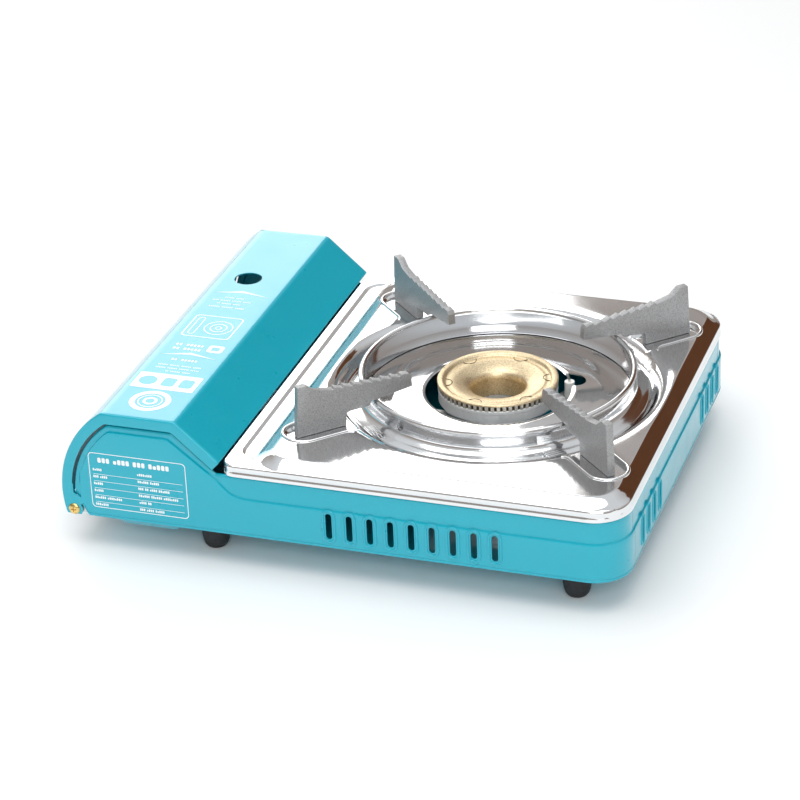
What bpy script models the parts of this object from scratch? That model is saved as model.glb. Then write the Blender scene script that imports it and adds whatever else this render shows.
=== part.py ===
"""Portable cassette gas stove, modelled as the separate pieces it is assembled from.

Sizes are in millimetres and are turned into metres by MM where a mesh is made.
The stove stands on Z = 0. The user stands at -Y, where the knob and the lock lever are.
The gas cartridge lies along Y in the bay at +X; the burner and the pan support are at -X.
"""
from math import atan2, cos, degrees, pi, radians, sin

import bmesh
import bpy
from mathutils import Matrix, Vector

MM = 0.001

# Driving sizes of the case
FOOT_HEIGHT = 20.0
X_SIDE = -167.0
Y_FRONT, Y_BACK = -121.5, 138.5
SHEET = 0.8
GAP = 0.3
CORNER = 22.0
SEAM = 24.0
Z_BASE = FOOT_HEIGHT
Z_SKIRT = Z_BASE + 38.0
Z_RIM = Z_BASE + 45.0
Z_PLATEAU = Z_BASE + 49.5
X_PLATE = 67.4
DECK = ((-157.5, -112.5), (47.0, 129.5))
FEET = {"foot_back_bay": (81.0, 118.5), "foot_back_side": (-135.0, 118.5),
        "foot_front_side": (-135.0, -101.5), "foot_front_bay": (81.0, -101.5)}

# Vent slots in the walls
VENT_WIDTH, VENT_LENGTH = 4.0, 17.5
VENT_Z = Z_BASE + 14.2
BACK_VENTS = [3.5 - 12.15 * i for i in range(9)]
SIDE_VENTS = [96.5 - 13.3 * i for i in range(4)] + [-50.0 - 13.3 * i for i in range(4)]

# Cartridge bay and its cover
HINGE = (160.2, Z_BASE + 3.5)
BAY_ARC = (103.0, Z_BASE + 15.0)
COVER_RADIUS = 64.0
COVER_TOP = Z_BASE + 68.5
COVER_TOP_X = 93.0
COVER_LIP = (69.0, Z_BASE + 47.0)
COVER_HOLE_X, COVER_HOLE_Y, COVER_HOLE_RADIUS = 120.0, -49.5, 8.6
VENT_ANGLE = 28.0
FLANGE = 6.5
EAR_RADIUS = 5.2
HINGE_PIN, HINGE_BORE, HINGE_HEAD = 2.0, 2.35, 3.6
CARTRIDGE_AXIS = (116.0, Z_BASE + 31.0)
TROUGH = ((96.0, -84.0), (136.0, 133.0))
TROUGH_DEPTH = 5.0
BAY_WALL_X = 64.5
CARRIAGE_Y = 101.0
CARRIAGE_TRAVEL = 9.0
CARRIAGE_SHEET = 1.5

# Burner, igniter and pan support
BURNER = (-57.8, 8.5)
WELL_RADIUS = 98.7
HOLE_RADIUS = 43.0
FLOOR_Z = Z_BASE + 40.0
CAP_RADIUS = 35.7
CAP_TOP = Z_BASE + 51.0
ELECTRODE = (-95.5, -12.5)
PIPE_YZ = (-105.0, 41.5)
TUBE_RADIUS = 8.0
STRIP_Y, STRIP_Z = (20.0, 46.0), 50.0
RING_RADIUS = 79.6
RING_TOP = Z_BASE + 58.4
PAN_HEIGHT = Z_BASE + 79.0
LEGS = {"back_bay": 45, "back_side": 135, "front_side": 225, "front_bay": 315}
LEG_THICKNESS = 4.5
LEG_REACH = 130.8
TEETH, TOOTH_PITCH = 8, 6.05
POCKET_FLOOR = Z_BASE + 47.4
POCKET_REACH, POCKET_WIDTH = 137.0, 22.0

# Controls on the front
KNOB = (42.0, Z_BASE + 20.0)
KNOB_FACE = -140.0
KNOB_RADIUS = 15.5
SPINDLE_RADIUS = 2.6
LEVER_X, LEVER_Z = 88.0, 66.0
LEVER_SLOT, LEVER_SLOT_Z = 23.0, 59.0

STOVE = None
CUTTERS = None
MATERIALS = {}


def clear_scene():
    for obj in list(bpy.data.objects):
        bpy.data.objects.remove(obj, do_unlink=True)


def make_collection(name):
    collection = bpy.data.collections.new(name)
    bpy.context.scene.collection.children.link(collection)
    return collection


def make_material(name, colour, roughness, metallic):
    material = bpy.data.materials.new(name)
    material.use_nodes = True
    shader = material.node_tree.nodes["Principled BSDF"]
    shader.inputs["Base Color"].default_value = (*colour, 1.0)
    shader.inputs["Roughness"].default_value = roughness
    shader.inputs["Metallic"].default_value = metallic
    material.diffuse_color = (*colour, 1.0)
    MATERIALS[name] = material


def make_materials():
    make_material("teal_enamel", (0.02, 0.42, 0.50), 0.3, 0.2)
    make_material("polished_steel", (0.78, 0.79, 0.80), 0.12, 1.0)
    make_material("cast_grey", (0.40, 0.39, 0.38), 0.55, 0.8)
    make_material("brass", (0.76, 0.60, 0.36), 0.35, 1.0)
    make_material("zinc_plate", (0.62, 0.63, 0.62), 0.35, 1.0)
    make_material("black_rubber", (0.02, 0.02, 0.02), 0.8, 0.0)
    make_material("black_plastic", (0.03, 0.03, 0.03), 0.4, 0.0)
    make_material("white_ceramic", (0.88, 0.87, 0.83), 0.25, 0.0)
    make_material("red_wire", (0.55, 0.05, 0.04), 0.5, 0.0)


# ---------------------------------------------------------------- shapes

def arc(centre, radius, start, stop, count):
    """Points on an arc; the angles are in degrees and both ends are included."""
    step = (stop - start) / (count - 1)
    angles = [radians(start + step * i) for i in range(count)]
    return [(centre[0] + radius * cos(a), centre[1] + radius * sin(a)) for a in angles]


def rounded_rectangle(low, high, radii, count=7):
    """Outline of a rectangle; radii are for the corners at --, +-, ++ and -+."""
    corners = [(low[0], low[1], 1, 1, 180), (high[0], low[1], -1, 1, 270),
               (high[0], high[1], -1, -1, 0), (low[0], high[1], 1, -1, 90)]
    points = []
    for (x, y, sx, sy, start), radius in zip(corners, radii):
        centre = (x + sx * radius, y + sy * radius)
        points += arc(centre, radius, start, start + 90, count)
    return points


def slot_outline(centre, width, length, count=7):
    """Upright slot with round ends."""
    radius = width / 2
    reach = length / 2 - radius
    top = arc((centre[0], centre[1] + reach), radius, 0, 180, count)
    return top + arc((centre[0], centre[1] - reach), radius, 180, 360, count)


def mesh_from(obj):
    """The evaluated shape of an object as a plain welded mesh, with the object removed."""
    graph = bpy.context.evaluated_depsgraph_get()
    mesh = bpy.data.meshes.new_from_object(obj.evaluated_get(graph))
    mesh.transform(obj.matrix_world)
    bm = bmesh.new()
    bm.from_mesh(mesh)
    bmesh.ops.remove_doubles(bm, verts=bm.verts, dist=1e-6)
    bmesh.ops.recalc_face_normals(bm, faces=bm.faces)
    bm.to_mesh(mesh)
    bm.free()
    bpy.data.objects.remove(obj, do_unlink=True)
    return mesh


def place(name, mesh, material=None, smooth=None):
    """Put a mesh in the stove with a material, or among the cutters without one."""
    obj = bpy.data.objects.new(name, mesh)
    if material is None:
        CUTTERS.objects.link(obj)
        obj.hide_render = True
        obj.display_type = "WIRE"
        return obj
    STOVE.objects.link(obj)
    mesh.materials.clear()
    mesh.materials.append(MATERIALS[material])
    if smooth:
        mesh.shade_smooth()
        mesh.set_sharp_from_angle(angle=radians(smooth))
    return obj


PLANES = {
    "Z": Matrix(((1, 0, 0), (0, 1, 0), (0, 0, 1))),
    "Y": Matrix(((1, 0, 0), (0, 0, -1), (0, 1, 0))),
    "X": Matrix(((0, 0, 1), (1, 0, 0), (0, 1, 0))),
}


def prism_mesh(outlines, along, low, high):
    """Flat outline, with any holes as further outlines, extruded from low to high."""
    curve = bpy.data.curves.new("outline", "CURVE")
    curve.dimensions = "2D"
    curve.fill_mode = "BOTH"
    curve.extrude = abs(high - low) / 2 * MM
    for outline in outlines:
        spline = curve.splines.new("POLY")
        spline.points.add(len(outline) - 1)
        for point, (a, b) in zip(spline.points, outline):
            point.co = (a * MM, b * MM, 0, 1)
        spline.use_cyclic_u = True
    obj = bpy.data.objects.new("outline", curve)
    STOVE.objects.link(obj)
    middle = (low + high) / 2 * MM
    obj.matrix_world = PLANES[along].to_4x4()
    offset = {"Z": (0, 0, middle), "Y": (0, middle, 0), "X": (middle, 0, 0)}[along]
    obj.matrix_world = Matrix.Translation(offset) @ obj.matrix_world
    bpy.context.view_layer.update()
    return mesh_from(obj)


def box_mesh(low, high, bevel=0.0):
    bm = bmesh.new()
    bmesh.ops.create_cube(bm, size=1.0)
    size = [(h - l) * MM for l, h in zip(low, high)]
    centre = [(h + l) / 2 * MM for l, h in zip(low, high)]
    bmesh.ops.scale(bm, vec=size, verts=bm.verts)
    bmesh.ops.translate(bm, vec=centre, verts=bm.verts)
    if bevel:
        bmesh.ops.bevel(bm, geom=bm.edges[:], offset=bevel * MM, segments=2, profile=0.5,
                        affect="EDGES")
    mesh = bpy.data.meshes.new("box")
    bm.to_mesh(mesh)
    bm.free()
    return mesh


def rod_mesh(start, end, radius, sides=16, end_radius=None):
    """Cylinder or cone between two points."""
    a, b = Vector(start) * MM, Vector(end) * MM
    turn = Vector((0, 0, 1)).rotation_difference(b - a).to_matrix().to_4x4()
    bm = bmesh.new()
    bmesh.ops.create_cone(bm, cap_ends=True, segments=sides, radius1=radius * MM,
                          radius2=(end_radius or radius) * MM, depth=(b - a).length,
                          matrix=Matrix.Translation((a + b) / 2) @ turn)
    mesh = bpy.data.meshes.new("rod")
    bm.to_mesh(mesh)
    bm.free()
    return mesh


def turned_mesh(profile, centre, steps=40, axis="Z"):
    """Closed profile of (radius, height), outer side from top to bottom, turned about an axis.

    With axis Y the profile's height runs towards the user, along -Y.
    """
    mesh = bpy.data.meshes.new("profile")
    count = len(profile)
    verts = [(r * MM, 0, h * MM) for r, h in profile]
    mesh.from_pydata(verts, [(i, (i + 1) % count) for i in range(count)], [])
    obj = bpy.data.objects.new("profile", mesh)
    STOVE.objects.link(obj)
    screw = obj.modifiers.new("turn", "SCREW")
    screw.steps = steps
    screw.render_steps = steps
    screw.use_merge_vertices = True
    screw.merge_threshold = 0.00001
    obj.location = [c * MM for c in centre]
    if axis == "Y":
        obj.rotation_euler = (pi / 2, 0, 0)
    bpy.context.view_layer.update()
    return mesh_from(obj)


def join_meshes(meshes):
    """Several meshes as one, for cutters and for pieces that a union then fuses."""
    bm = bmesh.new()
    for mesh in meshes:
        bm.from_mesh(mesh)
        bpy.data.meshes.remove(mesh)
    joined = bpy.data.meshes.new("joined")
    bm.to_mesh(joined)
    bm.free()
    return joined


def combine(obj, mesh, operation):
    """Union or difference with a further shape, kept as a Boolean modifier."""
    cutter = place(f"{obj.name}_tool_{len(obj.modifiers)}", mesh)
    modifier = obj.modifiers.new(operation.lower(), "BOOLEAN")
    modifier.operation = operation
    modifier.object = cutter
    modifier.solver = "EXACT"


def cut(obj, *meshes):
    combine(obj, join_meshes(meshes), "DIFFERENCE")


def add(obj, *meshes):
    for mesh in meshes:
        combine(obj, mesh, "UNION")


def thicken(obj, thickness=SHEET):
    modifier = obj.modifiers.new("sheet", "SOLIDIFY")
    modifier.thickness = thickness * MM
    modifier.offset = -1.0


# ---------------------------------------------------------------- case

def cover_outline(inset, low_angle=-10.0, count=13):
    """Cross-section of the cover as (x, z), from its lower outer edge to its lip."""
    radius = COVER_RADIUS - inset
    top = COVER_TOP - inset
    reach = ((radius ** 2) - (top - BAY_ARC[1]) ** 2) ** 0.5
    top_angle = degrees(atan2(top - BAY_ARC[1], reach))
    slope_x = COVER_TOP_X - COVER_LIP[0]
    slope_z = COVER_TOP - COVER_LIP[1]
    length = (slope_x ** 2 + slope_z ** 2) ** 0.5
    out_x, out_z = slope_z / length, slope_x / length
    side = arc(BAY_ARC, radius, low_angle, top_angle, count)
    ridge = (COVER_TOP_X + inset * (1 - out_z) / out_x, top)
    lip = (COVER_LIP[0] + inset * out_x, COVER_LIP[1] - inset * out_z)
    return side + [ridge, lip]


def end_columns():
    """The bay's end as columns (x, low z, high z), from its outer edge to the burner side."""
    outline = cover_outline(FLANGE + SHEET, low_angle=1.0, count=10)
    ridge, lip = outline[-2], outline[-1]
    columns = [(x, max(Z_BASE, Z_BASE + 14 - 1.8 * (outline[0][0] - x)), z)
               for x, z in outline[:-1]]
    run = (ridge[0] - lip[0]) * (ridge[1] - Z_SKIRT) / (ridge[1] - lip[1])
    columns.append((ridge[0] - run, Z_BASE, Z_SKIRT))
    return columns


def wall_mesh(columns, outward_left):
    """Sheet wall through columns of (x, y, low z, high z)."""
    bm = bmesh.new()
    pairs = [(bm.verts.new((x * MM, y * MM, low * MM)), bm.verts.new((x * MM, y * MM, high * MM)))
             for x, y, low, high in columns]
    for (low_a, high_a), (low_b, high_b) in zip(pairs, pairs[1:]):
        ring = (low_a, low_b, high_b, high_a)
        bm.faces.new(ring if outward_left else ring[::-1])
    mesh = bpy.data.meshes.new("wall")
    bm.to_mesh(mesh)
    bm.free()
    return mesh


def end_wall(name, y_outer, side):
    """Back or front wall: the bay's end, the long wall and the rounded corner in one sheet."""
    columns = [(x, y_outer, low, high) for x, low, high in end_columns()]
    centre = (X_SIDE + CORNER, y_outer - side * CORNER)
    corner = arc(centre, CORNER, 90, 180, 7)
    for x, y in corner:
        columns.append((x, centre[1] + side * (y - centre[1]), Z_BASE, Z_SKIRT))
    columns.append((X_SIDE, y_outer - side * SEAM, Z_BASE, Z_SKIRT))
    wall = place(name, wall_mesh(columns, side > 0), "teal_enamel", 30)
    thicken(wall)
    return wall


def make_walls():
    back = end_wall("back_panel", Y_BACK, 1)
    slots = [slot_outline((x, VENT_Z), VENT_WIDTH, VENT_LENGTH) for x in BACK_VENTS]
    cut(back, *[prism_mesh([slot], "Y", Y_BACK - 3, Y_BACK + 1) for slot in slots])
    front = end_wall("front_panel", Y_FRONT, -1)
    cut(front, rod_mesh((KNOB[0], Y_FRONT - 2, KNOB[1]), (KNOB[0], Y_FRONT + 3, KNOB[1]), 5.0),
        prism_mesh([slot_outline((LEVER_X, LEVER_SLOT_Z), 4.0, LEVER_SLOT)], "Y",
                   Y_FRONT - 1, Y_FRONT + 3))
    side = place("side_panel", box_mesh((X_SIDE, Y_FRONT + SEAM + GAP, Z_BASE),
                                        (X_SIDE + SHEET, Y_BACK - SEAM - GAP, Z_SKIRT)),
                 "teal_enamel")
    slots = [slot_outline((y, VENT_Z), VENT_WIDTH, VENT_LENGTH) for y in SIDE_VENTS]
    cut(side, *[prism_mesh([slot], "X", X_SIDE - 1, X_SIDE + 3) for slot in slots])


def make_bottom():
    inset = SHEET + GAP
    outline = rounded_rectangle((X_SIDE + inset, Y_FRONT + inset), (151.0, Y_BACK - inset),
                                (CORNER - inset, 2, 2, CORNER - inset))
    low = Z_BASE + GAP
    plate = place("bottom_plate", prism_mesh([outline], "Z", low, low + SHEET), "zinc_plate")
    depth = low - TROUGH_DEPTH
    outer = rounded_rectangle(TROUGH[0], TROUGH[1], (8, 8, 8, 8), 5)
    inner = rounded_rectangle([c + SHEET for c in TROUGH[0]], [c - SHEET for c in TROUGH[1]],
                              (7.2, 7.2, 7.2, 7.2), 5)
    add(plate, prism_mesh([outer], "Z", depth, low + SHEET / 2))
    cut(plate, prism_mesh([inner], "Z", depth + SHEET, low + 5))
    cut(plate, *[rod_mesh((x, y, low - 1), (x, y, low + 3), 3.3, 12) for x, y in FEET.values()])
    floor = low + SHEET + GAP
    wall = place("bay_wall", box_mesh((BAY_WALL_X, Y_FRONT + 6, floor),
                                      (BAY_WALL_X + SHEET, Y_BACK - 6, Z_RIM - SHEET - GAP)),
                 "zinc_plate")
    cut(wall, rod_mesh((BAY_WALL_X - 2, *PIPE_YZ), (BAY_WALL_X + 3, *PIPE_YZ), 4.0),
        box_mesh((BAY_WALL_X - 2, STRIP_Y[0] - 1, STRIP_Z - 1),
                 (BAY_WALL_X + 3, STRIP_Y[1] + 1, STRIP_Z + 2.2)))
    for name, (x, y) in FEET.items():
        stem_top = low + SHEET + 2.5
        profile = [(0, stem_top), (2.9, stem_top), (2.9, low - GAP), (10, low - GAP),
                   (10, 9), (9.2, 5), (7.2, 1.6), (4.5, 0), (0, 0)]
        place(name, turned_mesh(profile, (x, y, 0), 16), "black_rubber", 30)


def make_top_plate():
    """One pressing: skirt, rim, raised deck, round well and four pockets for the legs."""
    x0, x1 = X_SIDE + 0.6, X_PLATE
    y0, y1 = Y_FRONT + 0.5, Y_BACK - 0.5
    rim = rounded_rectangle((x0, y0), (x1, y1), (21.5, 8, 8, 21.5))
    plate = place("top_plate", prism_mesh([rim], "Z", Z_SKIRT + GAP, Z_RIM), "polished_steel", 30)
    deck = deck_mesh(0.0)
    add(plate, deck)
    inner = rounded_rectangle((x0 + SHEET, y0 + SHEET), (x1 - SHEET, y1 - SHEET),
                              (20.7, 7.2, 7.2, 20.7))
    cut(plate, prism_mesh([inner], "Z", Z_SKIRT - 3, Z_RIM - SHEET))
    cut(plate, deck_mesh(SHEET))
    bx, by = BURNER
    cut(plate, rod_mesh((bx, by, Z_SKIRT - 5), (bx, by, Z_PLATEAU + 5), WELL_RADIUS - 2, 60))
    top = [(WELL_RADIUS + 2.5, Z_PLATEAU - 0.15), (WELL_RADIUS, Z_PLATEAU - 0.2),
           (WELL_RADIUS - 2.2, Z_PLATEAU - 0.9), (WELL_RADIUS - 4.2, Z_PLATEAU - 2.8),
           (WELL_RADIUS - 5.7, Z_PLATEAU - 5.5), (WELL_RADIUS - 7.2, Z_PLATEAU - 8.2),
           (WELL_RADIUS - 9.7, FLOOR_Z + 0.2), (69, FLOOR_Z), (65, FLOOR_Z + 0.8),
           (61, FLOOR_Z + 2.6), (57, FLOOR_Z + 3), (HOLE_RADIUS, FLOOR_Z + 3)]
    under = [(r + 0.5, z - SHEET) if r > 70 else (r, z - SHEET) for r, z in top]
    under[0] = (under[0][0] - 0.5, Z_PLATEAU - SHEET + 0.1)
    profile = top[::-1] + under
    add(plate, turned_mesh(profile, (bx, by, 0), 60))
    trays = [pocket_outline(angle, 93.5, POCKET_REACH + SHEET, POCKET_WIDTH / 2 + SHEET)
             for angle in LEGS.values()]
    add(plate, *[prism_mesh([t], "Z", POCKET_FLOOR - SHEET, Z_PLATEAU - 0.3) for t in trays])
    pockets = [pocket_outline(angle, 88.0, POCKET_REACH, POCKET_WIDTH / 2)
               for angle in LEGS.values()]
    cut(plate, *[prism_mesh([p], "Z", POCKET_FLOOR, Z_PLATEAU + 3) for p in pockets])
    way = Vector((ELECTRODE[0] - bx, ELECTRODE[1] - by, 0)).normalized()
    key = (bx + way.x * 45, by + way.y * 45)
    cut(plate, rod_mesh((*key, FLOOR_Z - 3), (*key, FLOOR_Z + 6), 8.0, 20))


def deck_mesh(inset):
    """Raised deck with sloping sides, as a loft between its foot and its top outline."""
    low = Z_RIM - SHEET - 0.2 - inset * 3
    levels = []
    for grow, z in ((3.0, low), (0.0, Z_PLATEAU - inset)):
        outline = rounded_rectangle((DECK[0][0] - grow + inset, DECK[0][1] - grow + inset),
                                    (DECK[1][0] + grow - inset, DECK[1][1] + grow - inset),
                                    (16, 10, 10, 16))
        levels.append([(x, y, z) for x, y in outline])
    bm = bmesh.new()
    rings = [[bm.verts.new([c * MM for c in p]) for p in level] for level in levels]
    count = len(rings[0])
    for i in range(count):
        j = (i + 1) % count
        bm.faces.new((rings[0][i], rings[0][j], rings[1][j], rings[1][i]))
    bm.faces.new(rings[0][::-1])
    bm.faces.new(rings[1])
    mesh = bpy.data.meshes.new("deck")
    bm.to_mesh(mesh)
    bm.free()
    return mesh


def pocket_outline(angle, start, reach, half_width):
    """Plan of a leg pocket: open to the well at its start, round at its far end."""
    shape = [(start, -half_width)]
    shape += arc((reach - half_width, 0), half_width, -90, 90, 9)
    shape += [(start, half_width)]
    turn = Matrix.Rotation(radians(angle), 2)
    points = [turn @ Vector(p) for p in shape]
    return [(BURNER[0] + p.x, BURNER[1] + p.y) for p in points]


# ---------------------------------------------------------------- cartridge bay

def make_cover():
    """Bent sheet with a flange and a hinge ear at each end, and two vent holes."""
    sections = [(FLANGE, Y_FRONT), (0.0, Y_FRONT), (0.0, Y_BACK), (FLANGE, Y_BACK)]
    bm = bmesh.new()
    rows = [[bm.verts.new((x * MM, y * MM, z * MM)) for x, z in cover_outline(inset)]
            for inset, y in sections]
    for row, following in zip(rows, rows[1:]):
        for i in range(len(row) - 1):
            bm.faces.new((row[i], following[i], following[i + 1], row[i + 1]))
    mesh = bpy.data.meshes.new("cover")
    bm.to_mesh(mesh)
    bm.free()
    cover = place("cartridge_cover", mesh, "teal_enamel", 30)
    thicken(cover)
    ear = [p for p in arc(HINGE, EAR_RADIUS, 0, 350, 36) if p[1] > Z_BASE + 0.2]
    for y in (Y_FRONT + 0.1, Y_BACK - 0.7):
        add(cover, prism_mesh([ear], "Y", y, y + 0.6))
    x, z = HINGE
    cut(cover, rod_mesh((x, Y_FRONT - 1, z), (x, Y_FRONT + 3, z), HINGE_BORE, 16),
        rod_mesh((x, Y_BACK - 3, z), (x, Y_BACK + 1, z), HINGE_BORE, 16))
    side = Vector((cos(radians(VENT_ANGLE)), 0, sin(radians(VENT_ANGLE))))
    foot = Vector((BAY_ARC[0], COVER_HOLE_Y, BAY_ARC[1]))
    cut(cover, rod_mesh((COVER_HOLE_X, COVER_HOLE_Y, COVER_TOP - 4),
                        (COVER_HOLE_X, COVER_HOLE_Y, COVER_TOP + 2), COVER_HOLE_RADIUS, 28),
        rod_mesh(foot + side * 55, foot + side * 68, COVER_HOLE_RADIUS, 28))


def make_hinges():
    x, z = HINGE
    for name, y, side in (("back", Y_BACK, 1), ("front", Y_FRONT, -1)):
        face = y + side * GAP
        parts = [rod_mesh((x, face, z), (x, face + side * 1.2, z), HINGE_HEAD, 20, 2.9),
                 rod_mesh((x, face - side * 7, z), (x, face + side * 0.4, z), HINGE_PIN, 16)]
        screw = place(f"hinge_screw_{name}", parts[0], "brass", 30)
        add(screw, parts[1])
        for half_x, half_z in ((2.0, 0.3), (0.3, 2.0)):
            cut(screw, box_mesh((x - half_x, face + side * 1.2 - 0.5, z - half_z),
                                (x + half_x, face + side * 1.2 + 0.5, z + half_z)))
        low = Z_BASE + GAP * 2 + SHEET
        outline = [(141, low), (150, low)] + arc((x, z + 0.8), HINGE_HEAD, -45, 100, 7)
        outline.append((141, z + 4))
        outer = y - side * 1.3
        bracket = prism_mesh([outline, arc((x, z), HINGE_BORE, 0, 337.5, 16)], "Y",
                             outer, outer - side * 1.4)
        place(f"hinge_bracket_{name}", bracket, "zinc_plate")


def make_cartridge_drive():
    """Lever, link bar and carriage that push the cartridge onto the regulator."""
    x, z = CARTRIDGE_AXIS
    y = CARRIAGE_Y
    outline = rounded_rectangle((72, Z_BASE + 3.6), (142, Z_BASE + 46), (2, 2, 10, 10), 4)
    place("carriage", prism_mesh([outline], "Y", y, y + CARRIAGE_SHEET), "zinc_plate")
    place("link_bar", box_mesh((73, Y_FRONT + CARRIAGE_TRAVEL + 1.6, Z_BASE + 4),
                               (79, y - GAP, Z_BASE + 5.5)),
          "zinc_plate")
    front = Y_FRONT
    lever = place("lock_lever", box_mesh((LEVER_X - 7, front - 8, LEVER_Z - 5),
                                         (LEVER_X + 7, front - 0.8, LEVER_Z + 5), 1.2),
                  "black_plastic")
    add(lever, box_mesh((LEVER_X - 1.6, front - 2, LEVER_Z - 1.8),
                        (LEVER_X + 1.6, front + 6, LEVER_Z + 1.8)),
        box_mesh((LEVER_X - 7, front + 4.5, LEVER_Z - 22), (LEVER_X + 7, front + 6.5, LEVER_Z + 4)))
    guide = rounded_rectangle((86, Z_BASE + GAP * 2 + SHEET), (148, Z_BASE + 38), (1, 1, 6, 6), 4)
    bracket = place("cartridge_guide", prism_mesh([guide], "Y", -99.2, -98.0), "zinc_plate")
    cut(bracket, rod_mesh((x, -105, z), (x, -90, z), 19.0, 28))
    cut(bracket, box_mesh((x - 2, -105, z - 23), (x + 2, -90, z - 15)))


# ---------------------------------------------------------------- gas train

def make_gas_train():
    x, z = CARTRIDGE_AXIS
    front = Y_FRONT + 3.5
    body = [(0, -front), (15, -front), (17, -front - 2), (17, 101.4), (12, 99.6), (0, 99.6)]
    place("regulator", turned_mesh(body, (x, 0, z), 32, "Y"), "cast_grey", 30)
    collar = [(1.5, 99.3), (7, 99.3), (7, 93), (5.5, 92), (1.5, 92)]
    place("inlet_collar", turned_mesh(collar, (x, 0, z), 24, "Y"), "brass", 30)
    place("valve_block", box_mesh((30, -112, 30), (62, -90, 52), 1.5), "cast_grey")
    place("transfer_pipe", rod_mesh((62.3, *PIPE_YZ), (98.6, *PIPE_YZ), 2.5, 12), "brass", 30)
    start, way = Vector((32, -86.5, PIPE_YZ[1])), Vector((-0.69, 0.724, 0))
    nozzle = place("gas_nozzle", rod_mesh(start, start + way * 5, 3.5, 6), "brass")
    cut(nozzle, rod_mesh(start - way, start + way * 6, 0.6, 8))
    mouth = start + way * 8
    end = Vector((*BURNER, mouth.z)) - way * 21.5
    tube = place("mixing_tube", rod_mesh(mouth, end, TUBE_RADIUS, 24), "cast_grey", 30)
    cut(tube, rod_mesh(mouth - way, end + way, TUBE_RADIUS - 1.2, 24))
    shutter = place("air_shutter", rod_mesh(mouth + way * 2, mouth + way * 12,
                                            TUBE_RADIUS + 1.4, 24), "zinc_plate", 30)
    cut(shutter, rod_mesh(mouth, mouth + way * 14, TUBE_RADIUS + 0.4, 24))


def make_burner():
    centre = (*BURNER, 0)
    base = [(31.5, 63.3), (34.5, 63.3), (34.5, 58.5), (25, 52), (20, 50), (20, 38.3),
            (17.5, 38.3), (17.5, 51), (23.5, 53.8), (31.5, 59.5)]
    place("burner_base", turned_mesh(base, centre, 32), "cast_grey", 30)
    top = CAP_TOP
    cap = [(16.5, top - 4.5), (30.5, top - 0.9), (32.8, top - 0.9), (33.4, top),
           (CAP_RADIUS - 0.4, top), (CAP_RADIUS, top - 0.4), (CAP_RADIUS, top - 3.6),
           (34.4, top - 4), (34.4, 63.6), (30, 63.6), (30, 66), (19, 62.5), (18.5, 57), (16.5, 57)]
    place("burner_cap", turned_mesh(cap, centre, 36), "brass", 30)
    low = Z_BASE + GAP * 2 + SHEET
    x, y = BURNER
    hat = [(x - 34, low), (x - 22, low), (x - 22, 36.8), (x + 22, 36.8), (x + 22, low),
           (x + 34, low), (x + 34, low + 1.2), (x + 23.2, low + 1.2), (x + 23.2, 38),
           (x - 23.2, 38), (x - 23.2, low + 1.2), (x - 34, low + 1.2)]
    place("burner_bracket", prism_mesh([hat], "Y", y - 8, y + 12), "zinc_plate")
    place("heat_strip", box_mesh((x + 22, STRIP_Y[0], STRIP_Z), (80, STRIP_Y[1], STRIP_Z + 1.2)),
          "zinc_plate")


def make_igniter():
    x, y = ELECTRODE
    place("electrode_ceramic", rod_mesh((x, y, 44), (x, y, 62.5), 3.0, 16), "white_ceramic", 30)
    tip = Vector((BURNER[0] - x, BURNER[1] - y, 0)).normalized() * 1.5
    place("electrode_pin", rod_mesh((x, y, 62.8), (x + tip.x, y + tip.y, 68.5), 0.8, 8),
          "zinc_plate")
    ring = rounded_rectangle((x - 6, y - 6), (x + 6, y + 6), (4, 4, 4, 4), 4)
    hole = arc((x, y), 3.3, 0, 337.5, 16)
    place("electrode_bracket", prism_mesh([ring, hole], "Z", 52, 53.2), "zinc_plate")
    plunger_x = KNOB[0] - 8.0
    body_x = plunger_x - 8.2
    place("igniter_body", box_mesh((body_x - 18, Y_FRONT + 1.5, 30), (body_x, -97, 48), 1.0),
          "black_plastic")
    place("igniter_plunger", box_mesh((plunger_x - 5, -118.6, KNOB[1] - 2),
                                      (plunger_x, -114.6, KNOB[1] + 2)), "white_ceramic")
    route = [(body_x - 9, -96.4, 38), (body_x - 10, -84, 36), (-8, -70, 30), (-40, -62, 27),
             (-74, -50, 27), (-92, -32, 31), (-96.5, -18, 34), (x, y, 39), (x, y, 43.2)]
    curve = bpy.data.curves.new("ignition_wire", "CURVE")
    curve.dimensions = "3D"
    curve.bevel_depth = 1.2 * MM
    curve.bevel_resolution = 2
    curve.use_fill_caps = True
    spline = curve.splines.new("POLY")
    points = smooth_route(route, 5)
    spline.points.add(len(points) - 1)
    for point, place_at in zip(spline.points, points):
        point.co = (*[c * MM for c in place_at], 1)
    wire = bpy.data.objects.new("wire", curve)
    STOVE.objects.link(wire)
    bpy.context.view_layer.update()
    place("ignition_wire", mesh_from(wire), "red_wire", 40)


def smooth_route(points, steps):
    """Catmull-Rom curve through the route's points."""
    spots = [Vector(points[0])] + [Vector(p) for p in points] + [Vector(points[-1])]
    result = []
    for a, b, c, d in zip(spots, spots[1:], spots[2:], spots[3:]):
        for i in range(steps):
            t = i / steps
            result.append(0.5 * ((2 * b) + (c - a) * t + (2 * a - 5 * b + 4 * c - d) * t ** 2
                                 + (3 * b - a - 3 * c + d) * t ** 3))
    return result + [spots[-1]]


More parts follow.
